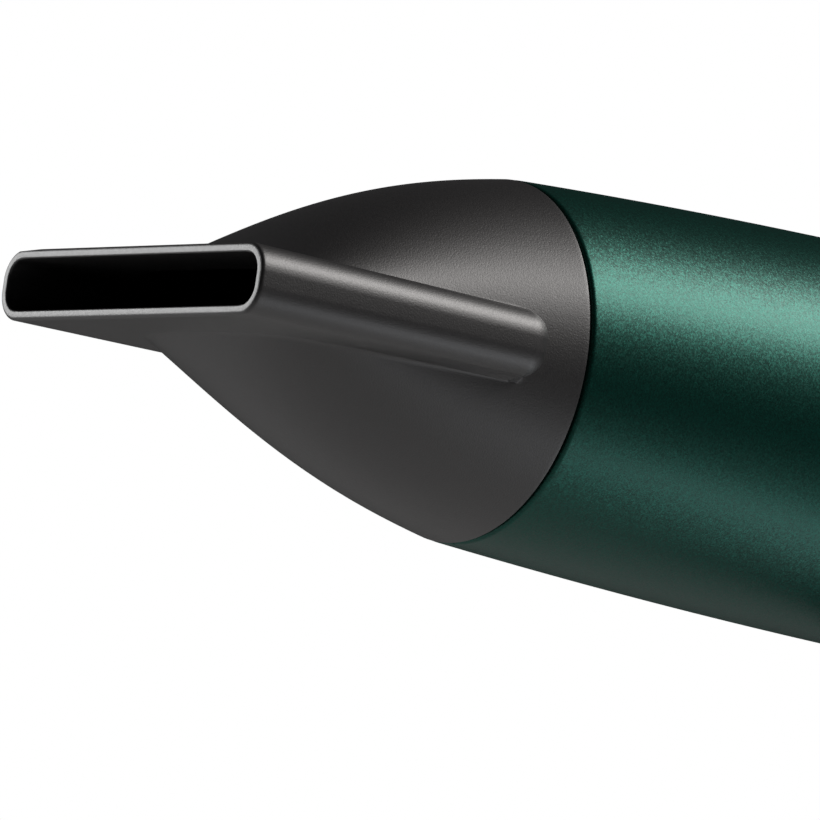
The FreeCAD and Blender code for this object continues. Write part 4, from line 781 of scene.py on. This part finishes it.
def carve(piece: bpy.types.Object, cutters: Sequence[bpy.types.Object], crease: float = 35.0) -> None:
    """Cuts closed cutters out of a piece and removes them.

    Args:
        piece: The piece to cut.
        cutters: What to cut with.
        crease: Edges that turn more than this many degrees stay sharp.
    """
    for cutter in cutters:
        modifier = piece.modifiers.new(cutter.name, "BOOLEAN")
        modifier.operation = "DIFFERENCE"
        modifier.solver = "EXACT"
        modifier.object = cutter
    evaluated_copy(piece)
    piece.data.shade_smooth()
    piece.data.set_sharp_from_angle(angle=math.radians(crease))


def cutter_object(name: str, points: np.ndarray, faces: Sequence[Sequence[int]]) -> bpy.types.Object:
    """A closed solid to cut with, in the row frame.

    Args:
        name: The solid's name.
        points: Its points, in metres.
        faces: Lists of point numbers.

    Returns:
        The solid.
    """
    mesh = bpy.data.meshes.new(name)
    mesh.from_pydata([tuple(v) for v in points], [], [list(f) for f in faces])
    work = bmesh.new()
    work.from_mesh(mesh)
    bmesh.ops.recalc_face_normals(work, faces=work.faces)
    work.to_mesh(mesh)
    work.free()
    made = bpy.data.objects.new(name, mesh)
    bpy.context.scene.collection.objects.link(made)
    return made


def softened(nodes: Sequence[str], material: bpy.types.Material, width: float, body: str) -> None:
    """Replaces CAD nodes with copies whose edges are rounded.

    Args:
        nodes: The nodes.
        material: Their material.
        width: How wide the rounding is, in metres.
        body: The body they ride on.
    """
    for node in nodes:
        source = frame["nodes"][node]
        mesh = source.data.copy()
        work = bmesh.new()
        work.from_mesh(mesh)
        bmesh.ops.remove_doubles(work, verts=work.verts, dist=WELD)
        flat = math.radians(FLAT_ANGLE)
        bmesh.ops.dissolve_limit(
            work, angle_limit=flat, verts=work.verts, edges=work.edges, delimit=set()
        )
        work.to_mesh(mesh)
        work.free()
        mesh.materials.clear()
        mesh.materials.append(material)
        piece = bpy.data.objects.new(f"{node}_finished", mesh)
        bpy.context.scene.collection.objects.link(piece)
        bevel = piece.modifiers.new("rounding", "BEVEL")
        bevel.width = width
        bevel.segments = 3
        bevel.limit_method = "ANGLE"
        bevel.angle_limit = math.radians(ROUNDED_ANGLE)
        bevel.use_clamp_overlap = True
        bevel.harden_normals = False
        evaluated_copy(piece)
        piece.data.shade_smooth()
        piece.data.set_sharp_from_angle(angle=math.radians(SHARP_ANGLE))
        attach(piece, body)
        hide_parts(node)
        LOG.info("%s: rounded copy, %d faces", piece.name, len(piece.data.polygons))


def dress(palette: Palette, finish: str, *nodes: str) -> None:
    """Gives CAD nodes a finish.

    Args:
        palette: The finishes.
        finish: The finish's field name.
        nodes: The nodes.
    """
    for node in nodes:
        mesh = frame["nodes"][node].data
        mesh.materials.clear()
        mesh.materials.append(palette.get(finish))
        LOG.info("%s: %s", node, finish)


# ---------------------------------------------------------------- sub-assemblies


@dataclass
class Nozzle:
    """The concentrator: a dome that flattens into a wide duct, in millimetres from the housing's edge."""

    palette: Palette
    seam_radius: float = 34.0
    rim_gap: float = 0.6
    wall: float = 1.8
    dome_length: float = 66.0
    dome_straight: float = 0.42
    dome_power: float = 2.4
    dome_narrowing: float = 1.6
    tip_half_height: float = 5.0
    tip_half_width: float = 27.2
    mouth: float = 79.0
    mouth_half_width: float = 40.6
    mouth_half_height: float = 6.6
    root: float = 11.2
    root_half_width: float = 39.2
    root_half_height: float = 6.3
    corner: float = 5.5
    fillet: float = 0.8
    fillet_fades_past: float = 6.0
    fillet_fade_length: float = 18.0
    least_fillet: float = 0.05
    lip_round: float = 0.75
    lip_inner_round: float = 0.35
    rim_round: float = 0.35
    web_front: float = -5.0
    web_rear: float = -3.0
    web_radius: float = 32.8
    collar_wall: float = 2.9
    search_radius: float = 60.0

    def dome_section(self, along: np.ndarray) -> tuple[np.ndarray, np.ndarray]:
        """The dome's section along the nozzle.

        Args:
            along: Places forward of the housing's edge.

        Returns:
            The half widths and the half heights.
        """
        share = np.clip(along / self.dome_length, 0.0, 1.0)
        even, bent = self.dome_straight, self.dome_narrowing
        late = (1 - even) * share**self.dome_power
        drop = (self.seam_radius - self.tip_half_height) * (even * share + late)
        curve = bent * share - (bent - 1) * share**2
        narrowing = (self.seam_radius - self.tip_half_width) * curve
        return self.seam_radius - narrowing, self.seam_radius - drop

    def distance(self, along: np.ndarray, x: np.ndarray, z: np.ndarray) -> np.ndarray:
        """How far points are outside the nozzle's outer surface, less than 0 inside.

        Args:
            along: Places forward of the housing's edge.
            x: Places across.
            z: Places up.

        Returns:
            The distances, in millimetres.
        """
        half_width, half_height = self.dome_section(along)
        radius = np.hypot(x, z) + 1e-9
        reach = half_width * half_height * radius / np.hypot(half_height * x, half_width * z)
        dome = radius - reach
        share = np.clip((along - self.root) / (self.mouth - self.root), 0.0, 1.0)
        wide = self.root_half_width + (self.mouth_half_width - self.root_half_width) * share
        high = self.root_half_height + (self.mouth_half_height - self.root_half_height) * share
        beyond = np.stack(
            (
                np.abs(x) - (wide - self.corner),
                np.abs(z) - (high - self.corner),
                (self.root + self.corner) - along,
            )
        )
        outside = np.sqrt((np.maximum(beyond, 0.0) ** 2).sum(0))
        duct = outside + np.minimum(beyond.max(0), 0.0) - self.corner
        left = (self.dome_length + self.fillet_fades_past - along) / self.fillet_fade_length
        width = self.fillet * np.clip(left, self.least_fillet, 1.0)
        return smooth_least(dome, duct, width)

    def reach(self, along: np.ndarray, turn: np.ndarray, depth: float) -> np.ndarray:
        """How far from the axis the surface lies, along rays square to the axis.

        Args:
            along: Places forward of the housing's edge.
            turn: The rays' directions.
            depth: How far the surface is sunk.

        Returns:
            The distances, in millimetres.
        """
        low = np.zeros(np.broadcast(along, turn).shape)
        high = np.full_like(low, self.search_radius)
        for _ in range(40):
            middle = 0.5 * (low + high)
            outside = self.distance(along, middle * np.cos(turn), middle * np.sin(turn)) > -depth
            high = np.where(outside, middle, high)
            low = np.where(outside, low, middle)
        return 0.5 * (low + high)

    def turns(self) -> np.ndarray:
        """Directions round the axis, close together at the duct's corners.

        Returns:
            The directions, even along the duct's faces.
        """
        flat = self.mouth_half_width - self.corner
        top = np.linspace(-flat, flat, 75)
        bend = np.linspace(0.0, math.pi / 2, 15)
        rise = self.mouth_half_height - self.corner
        corner = np.arctan2(rise + self.corner * np.sin(bend), flat + self.corner * np.cos(bend))
        upper = np.arctan2(self.mouth_half_height, top)
        even = np.linspace(0.0, math.pi, 90)
        half = np.unique(np.round(np.concatenate((corner, upper, even, math.pi - corner)), 4))
        half = half[np.concatenate(([True], np.diff(half) > 0.006))]
        return np.concatenate((half[:-1], half[:-1] + math.pi))

    def rings(self) -> list[tuple[float, float]]:
        """The shell's rings from the outer rear rim round the lip and back inside.

        Returns:
            Each ring's place along the nozzle and its depth.
        """
        r, lip, inner = self.rim_round, self.lip_round, self.lip_inner_round
        quarter = np.linspace(0.0, math.pi / 2, 7)
        rings = [(self.rim_gap + r * (1 - math.sin(a)), r * (1 - math.cos(a))) for a in quarter[::-1]]
        nose = np.arange(self.root - 3.5, self.root + 9.0, 0.4)
        outer = np.concatenate((np.linspace(self.rim_gap + 1.0, self.root - 3.9, 7), nose))
        outer = np.concatenate((outer, np.linspace(self.root + 9.8, self.mouth - lip - 0.4, 66)))
        rings += [(a, 0.0) for a in outer]
        rings += [(self.mouth - lip * (1 - math.sin(a)), lip * (1 - math.cos(a))) for a in quarter]
        depth = self.wall - inner
        rings += [(self.mouth - inner * (1 - math.cos(a)), depth + inner * math.sin(a)) for a in quarter]
        back = np.linspace(self.mouth - inner - 1.0, self.rim_gap, 60)
        rings += [(a, self.wall) for a in back]
        return rings

    def build(self) -> None:
        """Builds the moulding with its bearing web, and dresses the collar."""
        turn = self.turns()
        rows = []
        for along, depth in self.rings():
            radius = self.reach(np.full_like(turn, along), turn, depth)
            place = np.full_like(turn, -along)
            rows.append(np.stack((radius * np.cos(turn), place, radius * np.sin(turn)), -1))
        skin = np.stack(rows)
        faces = loop_faces(len(rows), len(turn), True)
        low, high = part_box("nozzle_collar")
        bore = (high.x - low.x) / (2 * MM) - self.collar_wall
        front, rear, outer = self.web_front, self.web_rear, self.web_radius
        web = [(front, bore), (front, outer), (rear, outer), (rear, bore)]
        points, web_faces = turned_skin(web, 128)
        first = skin.reshape(-1, 3).shape[0]
        faces += [[first + i for i in face] for face in web_faces]
        every = np.concatenate((skin.reshape(-1, 3), points))
        material = self.palette.get("nozzle")
        piece = new_piece(
            "nozzle_moulding", PLACES.from_barrel(every), faces, material, "nozzle", 60.0
        )
        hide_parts("nozzle_shell")
        dress(self.palette, "trim", "nozzle_collar")


@dataclass
class Housing:
    """The painted halves of the barrel and handle, in millimetres."""

    palette: Palette
    front_radius: float = 34.0
    middle_radius: float = 37.0
    rear_radius: float = 36.9
    length: float = 150.0
    wall: float = 2.2
    lip_round: float = 0.9
    rear_round: float = 0.3
    parting: float = 0.13
    parting_turn: float = 0.007
    grip_half_width: float = 16.0
    grip_half_depth: float = 19.2
    foot: float = -66.0
    foot_flare: float = 1.0
    foot_depth_share: float = 1.4
    blend_from: float = 47.0
    ring_half_width: float = 22.0
    ring_half_depth: float = 26.4
    ring_step: float = 1.03
    ring_sunk: float = 0.03
    rise_pull: float = 1.25
    spread_pull: float = 1.05
    plate_half_width: float = 7.65
    plate_low: float = -2.15
    plate_high: float = 46.15
    button_radius: float = 6.25
    button_place: float = 30.0
    button_depth: float = 9.0
    pit_radius: float = 3.2
    pit_floor: float = 9.0
    pit_mouth: float = 13.4
    pit_wall: float = 1.0
    pit_web: float = 1.2
    screw_hole: float = 1.5
    far_outside: float = 34.0
    window_depth: float = 8.0
    front_bore: float = 13.0
    first_guess: float = 62.0
    screws: tuple[tuple[float, float], ...] = ((0.0, 54.0), (0.0, -15.0), (10.0, -53.0))

    def radius(self, along: np.ndarray | float) -> np.ndarray:
        """The barrel's outer radius.

        Args:
            along: Places behind the housing's front edge.

        Returns:
            The radius there.
        """
        front = (self.lip_round, self.front_radius)
        middle = (self.length / 2, self.middle_radius)
        rear = (self.length, self.rear_radius)
        x, y, r = circle_through((front, middle, rear))
        return y + np.sqrt(r * r - (np.asarray(along) - x) ** 2)

    def barrel_profile(self) -> tuple[np.ndarray, np.ndarray]:
        """The lines of the barrel's wall, front to rear.

        Returns:
            The outer and the inner line, with the same number of points.
        """
        quarter = np.linspace(0.0, math.pi / 2, 8)
        lip, rear = self.lip_round, self.rear_round
        outer = [
            (lip * (1 - math.sin(a)), self.front_radius - lip * (1 - math.cos(a)))
            for a in quarter[::-1]
        ]
        outer += [(y, float(self.radius(y))) for y in np.linspace(lip + 1.0, self.length - rear - 0.5, 90)]
        outer += [
            (self.length - rear * (1 - math.sin(a)), self.rear_radius - rear * (1 - math.cos(a)))
            for a in quarter
        ]
        line = np.array(outer)
        bore = self.front_radius - self.wall
        inner = np.array([(y, max(bore, float(self.radius(y)) - self.wall)) for y in line[:, 0]])
        inner[:, 1] = np.where(inner[:, 0] < self.front_bore, bore, inner[:, 1])
        return line, inner

    def half_shell(self, outer: np.ndarray, inner: np.ndarray) -> Skin:
        """Joins an outer and an inner grid into a closed shell.

        Args:
            outer: Points by column round the half and row along it.
            inner: The same, inside.

        Returns:
            Points and faces.
        """
        columns, rows = outer.shape[:2]
        loop = np.concatenate((outer, inner[:, ::-1]), 1)
        faces = loop_faces(columns, 2 * rows, False)
        for column in (0, columns - 1):
            first = column * 2 * rows
            for i in range(rows - 1):
                across = first + 2 * rows - 1 - i
                faces.append([first + i, first + i + 1, across - 1, across])
        return loop.reshape(-1, 3), faces

    def round_the_half(self, count: int) -> tuple[np.ndarray, np.ndarray]:
        """Angles from the lower to the upper parting line.

        Args:
            count: How many, about.

        Returns:
            The angles, and how far each is sunk for the fine groove.
        """
        inside = np.linspace(-math.pi / 2, math.pi / 2, count)
        edge = np.array([0.0, 0.5, 1.0]) * self.parting_turn
        angles = np.concatenate((-math.pi / 2 + edge, inside[1:-1], math.pi / 2 - edge[::-1]))
        sunk = np.zeros_like(angles)
        sunk[[0, -1]] = self.parting
        sunk[[1, -2]] = self.parting * 0.25
        return angles, sunk

    def barrel_half(self, side: int) -> Skin:
        """One half of the barrel's wall.

        Args:
            side: 1 for the right half, -1 for the left.

        Returns:
            Points in the barrel frame, and faces.
        """
        angles, sunk = self.round_the_half(150)
        line, inner = self.barrel_profile()
        grids = []
        for profile, depth in ((line, sunk), (inner, 0 * sunk)):
            radius = profile[None, :, 1] - depth[:, None]
            along = np.broadcast_to(profile[None, :, 0], radius.shape)
            x = side * radius * np.cos(angles)[:, None]
            grids.append(np.stack((x, along, radius * np.sin(angles)[:, None]), -1))
        return self.half_shell(*grids)

    def on_barrel(self, x: np.ndarray, back: np.ndarray) -> np.ndarray:
        """Points of the barrel's underside over places of the handle frame.

        Args:
            x: Places across.
            back: Places front to back.

        Returns:
            The points, in the handle frame.
        """
        up = np.full_like(x, self.first_guess)
        for _ in range(12):
            point = PLACES.handle_to_barrel(np.stack((x, back, up), -1))
            wanted = -np.sqrt(np.maximum(self.radius(point[..., 1]) ** 2 - x**2, 1.0))
            up = up + (wanted - point[..., 2]) / math.cos(PLACES.lean)
        return np.stack((x, back, up), -1)

    def handle_half(self, side: int) -> Skin:
        """One half of the handle's wall, blended into the barrel.

        Args:
            side: 1 for the right half, -1 for the left.

        Returns:
            Points in the handle frame, and faces.
        """
        angles, sunk = self.round_the_half(110)
        cos, sin = np.cos(angles), np.sin(angles)
        stations = np.linspace(self.foot, self.blend_from, 70)
        flared = -0.5 * self.foot
        share = np.clip((-flared - stations) / flared, 0.0, 1.0)
        flare = self.foot_flare * share * share * (3 - 2 * share)
        rows = []
        for station, wide in zip(stations, flare, strict=True):
            x = (self.grip_half_width + wide - sunk) * cos
            back = (self.grip_half_depth + self.foot_depth_share * wide - sunk) * sin
            rows.append(np.stack((x, back, np.full_like(x, station)), -1))
        start = rows[-1]
        ring = self.on_barrel(self.ring_half_width * cos, self.ring_half_depth * sin)
        wide, deep = self.ring_step * self.ring_half_width, self.ring_step * self.ring_half_depth
        away = self.on_barrel(wide * cos, deep * sin) - ring
        away /= np.linalg.norm(away, axis=-1, keepdims=True)
        span = np.linalg.norm(ring - start, axis=-1, keepdims=True)
        for u in np.linspace(0.0, 1.0, 34)[1:]:
            h00, h10 = 2 * u**3 - 3 * u**2 + 1, u**3 - 2 * u**2 + u
            h01, h11 = -2 * u**3 + 3 * u**2, u**3 - u**2
            rise = np.array([0.0, 0.0, 1.0]) * span * self.rise_pull
            spread = away * span * self.spread_pull
            rows.append(h00 * start + h10 * rise + h01 * ring + h11 * spread)
        outer = np.stack(rows, 1)
        outer[:, -1, 2] += self.ring_sunk
        along = np.gradient(outer, axis=1)
        around = np.gradient(outer, axis=0)
        normal = np.cross(around, along)
        normal /= np.linalg.norm(normal, axis=-1, keepdims=True)
        middle = normal[len(angles) // 2, 5]
        inward = -normal if middle[0] > 0 else normal
        inner = outer + self.wall * inward
        inner[[0, -1], :, 0] = 0.0
        outer[[0, -1], :, 0] = 0.0
        outer[..., 0] *= side
        inner[..., 0] *= side
        return self.half_shell(outer, inner)

    def pit(self, back: float, up: float) -> Skin:
        """The boss round a screw pit.

        Args:
            back: The screw's place front to back.
            up: Its place up the handle.

        Returns:
            Points in the handle frame, and faces.
        """
        floor, mouth, foot = self.pit_floor, self.pit_mouth, self.pit_floor - self.pit_web
        bore, hole, outside = self.pit_radius, self.screw_hole, self.pit_radius + self.pit_wall
        profile = [(foot, hole), (floor, hole), (floor, bore)]
        profile += [(mouth, bore), (mouth, outside), (foot, outside)]
        points, faces = turned_skin(profile, 40)
        moved = np.stack((-points[:, 1], back + points[:, 0], up + points[:, 2]), -1)
        return moved, faces

    def cutters(self, side: int) -> list[bpy.types.Object]:
        """The plate's window, the button's hole and, on the left, the screw pits.

        Args:
            side: 1 for the right half, -1 for the left.

        Returns:
            What is cut out of that half.
        """
        w, low, high = self.plate_half_width, self.plate_low, self.plate_high
        near, far = self.window_depth, self.far_outside
        corners = np.array([(x, y, z) for x in (-w, w) for y in (near, far) for z in (low, high)])
        cube = [[0, 1, 3, 2], [4, 6, 7, 5], [0, 4, 5, 1], [2, 3, 7, 6], [0, 2, 6, 4], [1, 5, 7, 3]]
        made = [cutter_object(f"plate_window_{side}", PLACES.from_handle(corners), cube)]
        turn = np.linspace(0, 2 * math.pi, 96, endpoint=False)
        holes = [("button", self.button_radius, 0.0, -far, -self.button_depth, self.button_place)]
        for i, (back, up) in enumerate(self.screws if side < 0 else ()):
            holes.append((f"pit_{i}", self.pit_radius, back, -far, -self.pit_floor, up))
        for name, radius, back, start, stop, up in holes:
            ends = []
            for end in (start, stop):
                flat = np.full_like(turn, end)
                level, height = radius * np.cos(turn), up + radius * np.sin(turn)
                if name == "button":
                    ends.append(np.stack((level, flat, height), -1))
                else:
                    ends.append(np.stack((flat, back + level, height), -1))
            n = len(turn)
            faces = [list(range(n)), list(range(n, 2 * n))[::-1]]
            faces += [[i, (i + 1) % n, n + (i + 1) % n, n + i] for i in range(n)]
            points = PLACES.from_handle(np.concatenate(ends))
            made.append(cutter_object(f"{name}_hole_{side}", points, faces))
        return made

    def build(self) -> None:
        """Builds both halves."""
        paint = self.palette.get("paint")
        for name, side in (("right", 1), ("left", -1)):
            points, faces = self.handle_half(side)
            placed = PLACES.from_handle(points)
            handle = new_piece(f"handle_{name}_skin", placed, faces, paint, "housing", 35.0)
            cutters = self.cutters(side)
            carve(handle, cutters)
            for cutter in cutters:
                bpy.data.objects.remove(cutter)
            points, faces = self.barrel_half(side)
            placed = PLACES.from_barrel(points)
            barrel = new_piece(f"barrel_{name}_skin", placed, faces, paint, "housing", 35.0)
            for piece in (barrel, handle):
                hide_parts(f"housing_{name}")
        for i, (back, up) in enumerate(self.screws):
            points, faces = self.pit(back, up)
            placed = PLACES.from_handle(points)
            inner = self.palette.get("inner")
            boss = new_piece(f"screw_boss_{i}", placed, faces, inner, "housing")
        dress(self.palette, "steel", "housing_screws")


@dataclass
class Rear:
    """The bezel, finger guard, removable grille and woven filter."""

    palette: Palette
    pitch: float = 1.5
    wire: float = 0.16
    wave: float = 0.17
    rim_width: float = 2.5
    rim_round: float = 0.3
    weave_place: float = 0.6
    tucked_in: float = 0.6

    def filter(self) -> None:
        """Weaves the filter's wires inside its rim."""
        low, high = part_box("filter_mesh")
        centre = (low + high) / 2
        rim_outer = (high.x - low.x) / 2 / MM
        rim_inner = rim_outer - self.rim_width
        depth = (high.y - low.y) / MM
        quarter = self.rim_round
        profile = [(0.0, rim_inner), (0.0, rim_outer), (depth - quarter, rim_outer)]
        profile += [(depth, rim_outer - quarter), (depth, rim_inner + quarter), (depth - quarter, rim_inner)]
        points, faces = turned_skin(profile, 128)
        origin = np.array((centre.x, low.y, centre.z))
        rim = new_piece("filter_rim", points * MM + origin, faces, self.palette.get("trim"), "rear_cap")
        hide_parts("filter_mesh")
        vertices, quads = [], []
        count = int(rim_inner / self.pitch)
        for way in (0, 1):
            for i in range(-count, count + 1):
                across = i * self.pitch
                half = math.sqrt(max(rim_inner**2 - across**2, 0.0)) + self.tucked_in
                steps = max(8, int(half / self.pitch * 4))
                along = np.linspace(-half, half, steps)
                lift = self.wave * np.sin(math.pi * along / self.pitch + math.pi * (i + way))
                for a, b in zip(along, lift, strict=True):
                    flat = (across, a) if way else (a, across)
                    for corner in range(4):
                        turn = math.pi / 2 * corner
                        side, rise = self.wire * math.cos(turn), self.wire * math.sin(turn)
                        x = flat[0] + (side if way else 0.0)
                        z = flat[1] + (0.0 if way else side)
                        vertices.append((x, self.weave_place + b + rise, z))
                first = len(vertices) - 4 * steps
                for ring in range(steps - 1):
                    for corner in range(4):
                        a = first + 4 * ring + corner
                        b = first + 4 * ring + (corner + 1) % 4
                        quads.append([a, b, b + 4, a + 4])
        placed = np.array(vertices) * MM + origin
        steel = self.palette.get("steel")
        woven = new_piece("filter_weave", placed, quads, steel, "rear_cap", 80.0)
        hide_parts("filter_mesh")

    def build(self) -> None:
        """Builds the rear end."""
        self.filter()
        dress(self.palette, "trim", "rear_grille", "finger_guard", "rear_bezel")
        dress(self.palette, "rubber", "duct_seal")


@dataclass
class Inside:
    """The heater, the fan and the motor."""

    palette: Palette

    def build(self) -> None:
        """Dresses what is inside."""
        dress(self.palette, "inner", "fan_duct", "fan_impeller", "ioniser_module", "motor_end_cap")
        dress(self.palette, "trim", "outlet_ring", "outlet_grille")
        dress(self.palette, "mica", "heater_tube", "mica_board_upright", "mica_board_level")
        dress(self.palette, "wire", "heater_coil")
        dress(self.palette, "brass", "thermal_cutout", "thermal_fuse", "motor_bushes")
        dress(self.palette, "steel", "motor_can", "motor_shaft", "ion_needle")
        dress(self.palette, "copper", "armature_windings", "commutator", "motor_brushes")
        dress(self.palette, "ferrite", "motor_magnets")
        dress(self.palette, "dark_steel", "armature_core")


@dataclass
class Controls:
    """The sliders, the button and what they work."""

    palette: Palette

    def build(self) -> None:
        """Rounds and dresses the controls."""
        trim = self.palette.get("trim")
        softened(["switch_plate"], trim, 0.0003, "housing")
        for slider in ("speed_slider", "heat_slider"):
            softened([slider], self.palette.get("button"), 0.0004, slider)
        softened(["cool_shot_button"], self.palette.get("button"), 0.0003, "cool_shot_button")
        dress(self.palette, "inner", "speed_switch", "heat_switch", "cool_shot_switch")
        dress(self.palette, "steel", "cool_shot_spring")
        dress(self.palette, "board", "control_board")
        dress(self.palette, "parts", "board_parts")


@dataclass
class Foot:
    """The handle's foot."""

    palette: Palette

    def build(self) -> None:
        """Rounds and dresses the foot."""
        softened(["foot_cap"], self.palette.get("trim"), 0.0006, "housing")
        rubber = self.palette.get("rubber")
        softened(["cord_bushing", "hanging_eye"], rubber, 0.0007, "housing")
        dress(self.palette, "inner", "cord_clamp")
        dress(self.palette, "steel", "clamp_screws")


# ---------------------------------------------------------------- studio


@dataclass(frozen=True)
class Softbox:
    """A soft light that looks at the barrel, in metres and watts."""

    name: str
    direction: Direction
    distance: float
    size: tuple[float, float]
    power: float
    tint: Colour
    aim_behind_seam: float = 0.03

    def hang(self) -> None:
        """Hangs the light where its direction says, seen from the barrel."""
        data = bpy.data.lights.new(self.name, "AREA")
        data.shape = "RECTANGLE"
        data.size, data.size_y = self.size
        data.energy = self.power
        data.color = self.tint
        light = bpy.data.objects.new(self.name, data)
        bpy.context.scene.collection.objects.link(light)
        way = Vector(self.direction).normalized()
        aim = PLACES.barrel + Vector((0.0, self.aim_behind_seam, 0.0))
        light.location = aim + way * self.distance
        light.rotation_mode = "QUATERNION"
        light.rotation_quaternion = way.to_track_quat("Z", "Y")
        light.visible_camera = False


@dataclass
class Studio:
    """A pale floor, soft lights and the camera."""

    floor_drop: float = 0.26
    floor_radius: float = 4.0
    azimuth: float = 54.17
    elevation: float = -6.42
    roll: float = 8.08
    distance: float = 2.0
    lens: float = 480.0
    seam_right: float = 0.01252
    seam_above: float = 0.00886
    floor_colour: Colour = (0.62, 0.62, 0.62)
    surround_colour: Colour = (0.80, 0.84, 0.92)
    surround_strength: float = 0.012
    lights: tuple[Softbox, ...] = (
        Softbox("key", (0.409, 0.582, 0.704), 1.1, (1.0, 0.38), 9.5, (1.0, 0.97, 0.95)),
        Softbox("under", (0.43, 0.58, -0.69), 0.34, (0.3, 0.07), 0.11, (0.9, 0.94, 1.0)),
        Softbox("front", (-0.8, -0.6, 0.15), 1.3, (0.6, 0.6), 8.0, (1.0, 1.0, 1.0)),
    )

    def axes(self) -> tuple[Vector, Vector, Vector]:
        """The camera's directions.

        Returns:
            Its right, its up and its back.
        """
        a, e, r = (math.radians(v) for v in (self.azimuth, self.elevation, self.roll))
        back = Vector((math.sin(a) * math.cos(e), -math.cos(a) * math.cos(e), math.sin(e)))
        right = Vector((math.cos(a), math.sin(a), 0.0))
        up = back.cross(right)
        return math.cos(r) * right + math.sin(r) * up, -math.sin(r) * right + math.cos(r) * up, back

    def camera(self) -> None:
        """Places the camera, a long lens well back."""
        right, up, back = self.axes()
        data = bpy.data.cameras.new("camera")
        data.lens = self.lens
        data.sensor_width = 36.0
        data.clip_end = 100.0
        camera = bpy.data.objects.new("camera", data)
        bpy.context.scene.collection.objects.link(camera)
        place = PLACES.barrel + back * self.distance - right * self.seam_right - up * self.seam_above
        camera.matrix_world = Matrix.Translation(place) @ Matrix((right, up, back)).transposed().to_4x4()
        bpy.context.scene.camera = camera

    def floor(self) -> None:
        """Lays a wide pale floor well below the dryer."""
        sides = 96
        height = CAD_BOX[0].z - self.floor_drop
        turn = np.linspace(0, 2 * math.pi, sides, endpoint=False)
        ring = [(self.floor_radius * math.cos(t), self.floor_radius * math.sin(t), height) for t in turn]
        mesh = bpy.data.meshes.new("floor")
        faces = [[0, i + 1, (i + 1) % sides + 1] for i in range(sides)]
        mesh.from_pydata([(0.0, 0.0, height), *ring], [], faces)
        mixer = Mixer("pale_floor")
        grain = mixer.group(
            EFFECTS.grain, Grain_Size=0.002, Roughness=0.7, Colour=self.floor_colour, Tone_Spread=0.03
        )
        mixer.feed(grain.outputs["Colour"], "Base Color")
        mixer.feed(grain.outputs["Roughness"], "Roughness")
        mesh.materials.append(mixer.material)
        floor = bpy.data.objects.new("floor", mesh)
        bpy.context.scene.collection.objects.link(floor)

    def world(self) -> None:
        """A white surround to look at, and a dimmer one to be lit by."""
        world = bpy.data.worlds.new("surround")
        world.use_nodes = True
        bpy.context.scene.world = world
        tree = world.node_tree
        lit = tree.nodes["Background"]
        lit.inputs["Color"].default_value = (*self.surround_colour, 1.0)
        lit.inputs["Strength"].default_value = self.surround_strength
        seen = tree.nodes.new("ShaderNodeBackground")
        seen.inputs["Color"].default_value = (1.0, 1.0, 1.0, 1.0)
        seen.inputs["Strength"].default_value = 1.0
        path = tree.nodes.new("ShaderNodeLightPath")
        mix = tree.nodes.new("ShaderNodeMixShader")
        tree.links.new(path.outputs["Is Camera Ray"], mix.inputs[0])
        tree.links.new(lit.outputs[0], mix.inputs[1])
        tree.links.new(seen.outputs[0], mix.inputs[2])
        tree.links.new(mix.outputs[0], tree.nodes["World Output"].inputs[0])

    def build(self) -> None:
        """Sets up the whole studio."""
        bpy.context.scene.view_settings.view_transform = "Standard"
        self.camera()
        self.floor()
        self.world()
        for light in self.lights:
            light.hang()


def main() -> None:
    """Builds the studio and each sub-assembly."""
    logging.basicConfig(level=logging.INFO, format="%(name)s %(message)s")
    Studio().build()
    palette = Palette()
    for assembly in (Nozzle, Housing, Rear, Inside, Controls, Foot):
        LOG.info("building %s", assembly.__name__)
        assembly(palette).build()


if __name__ == "__main__":
    main()
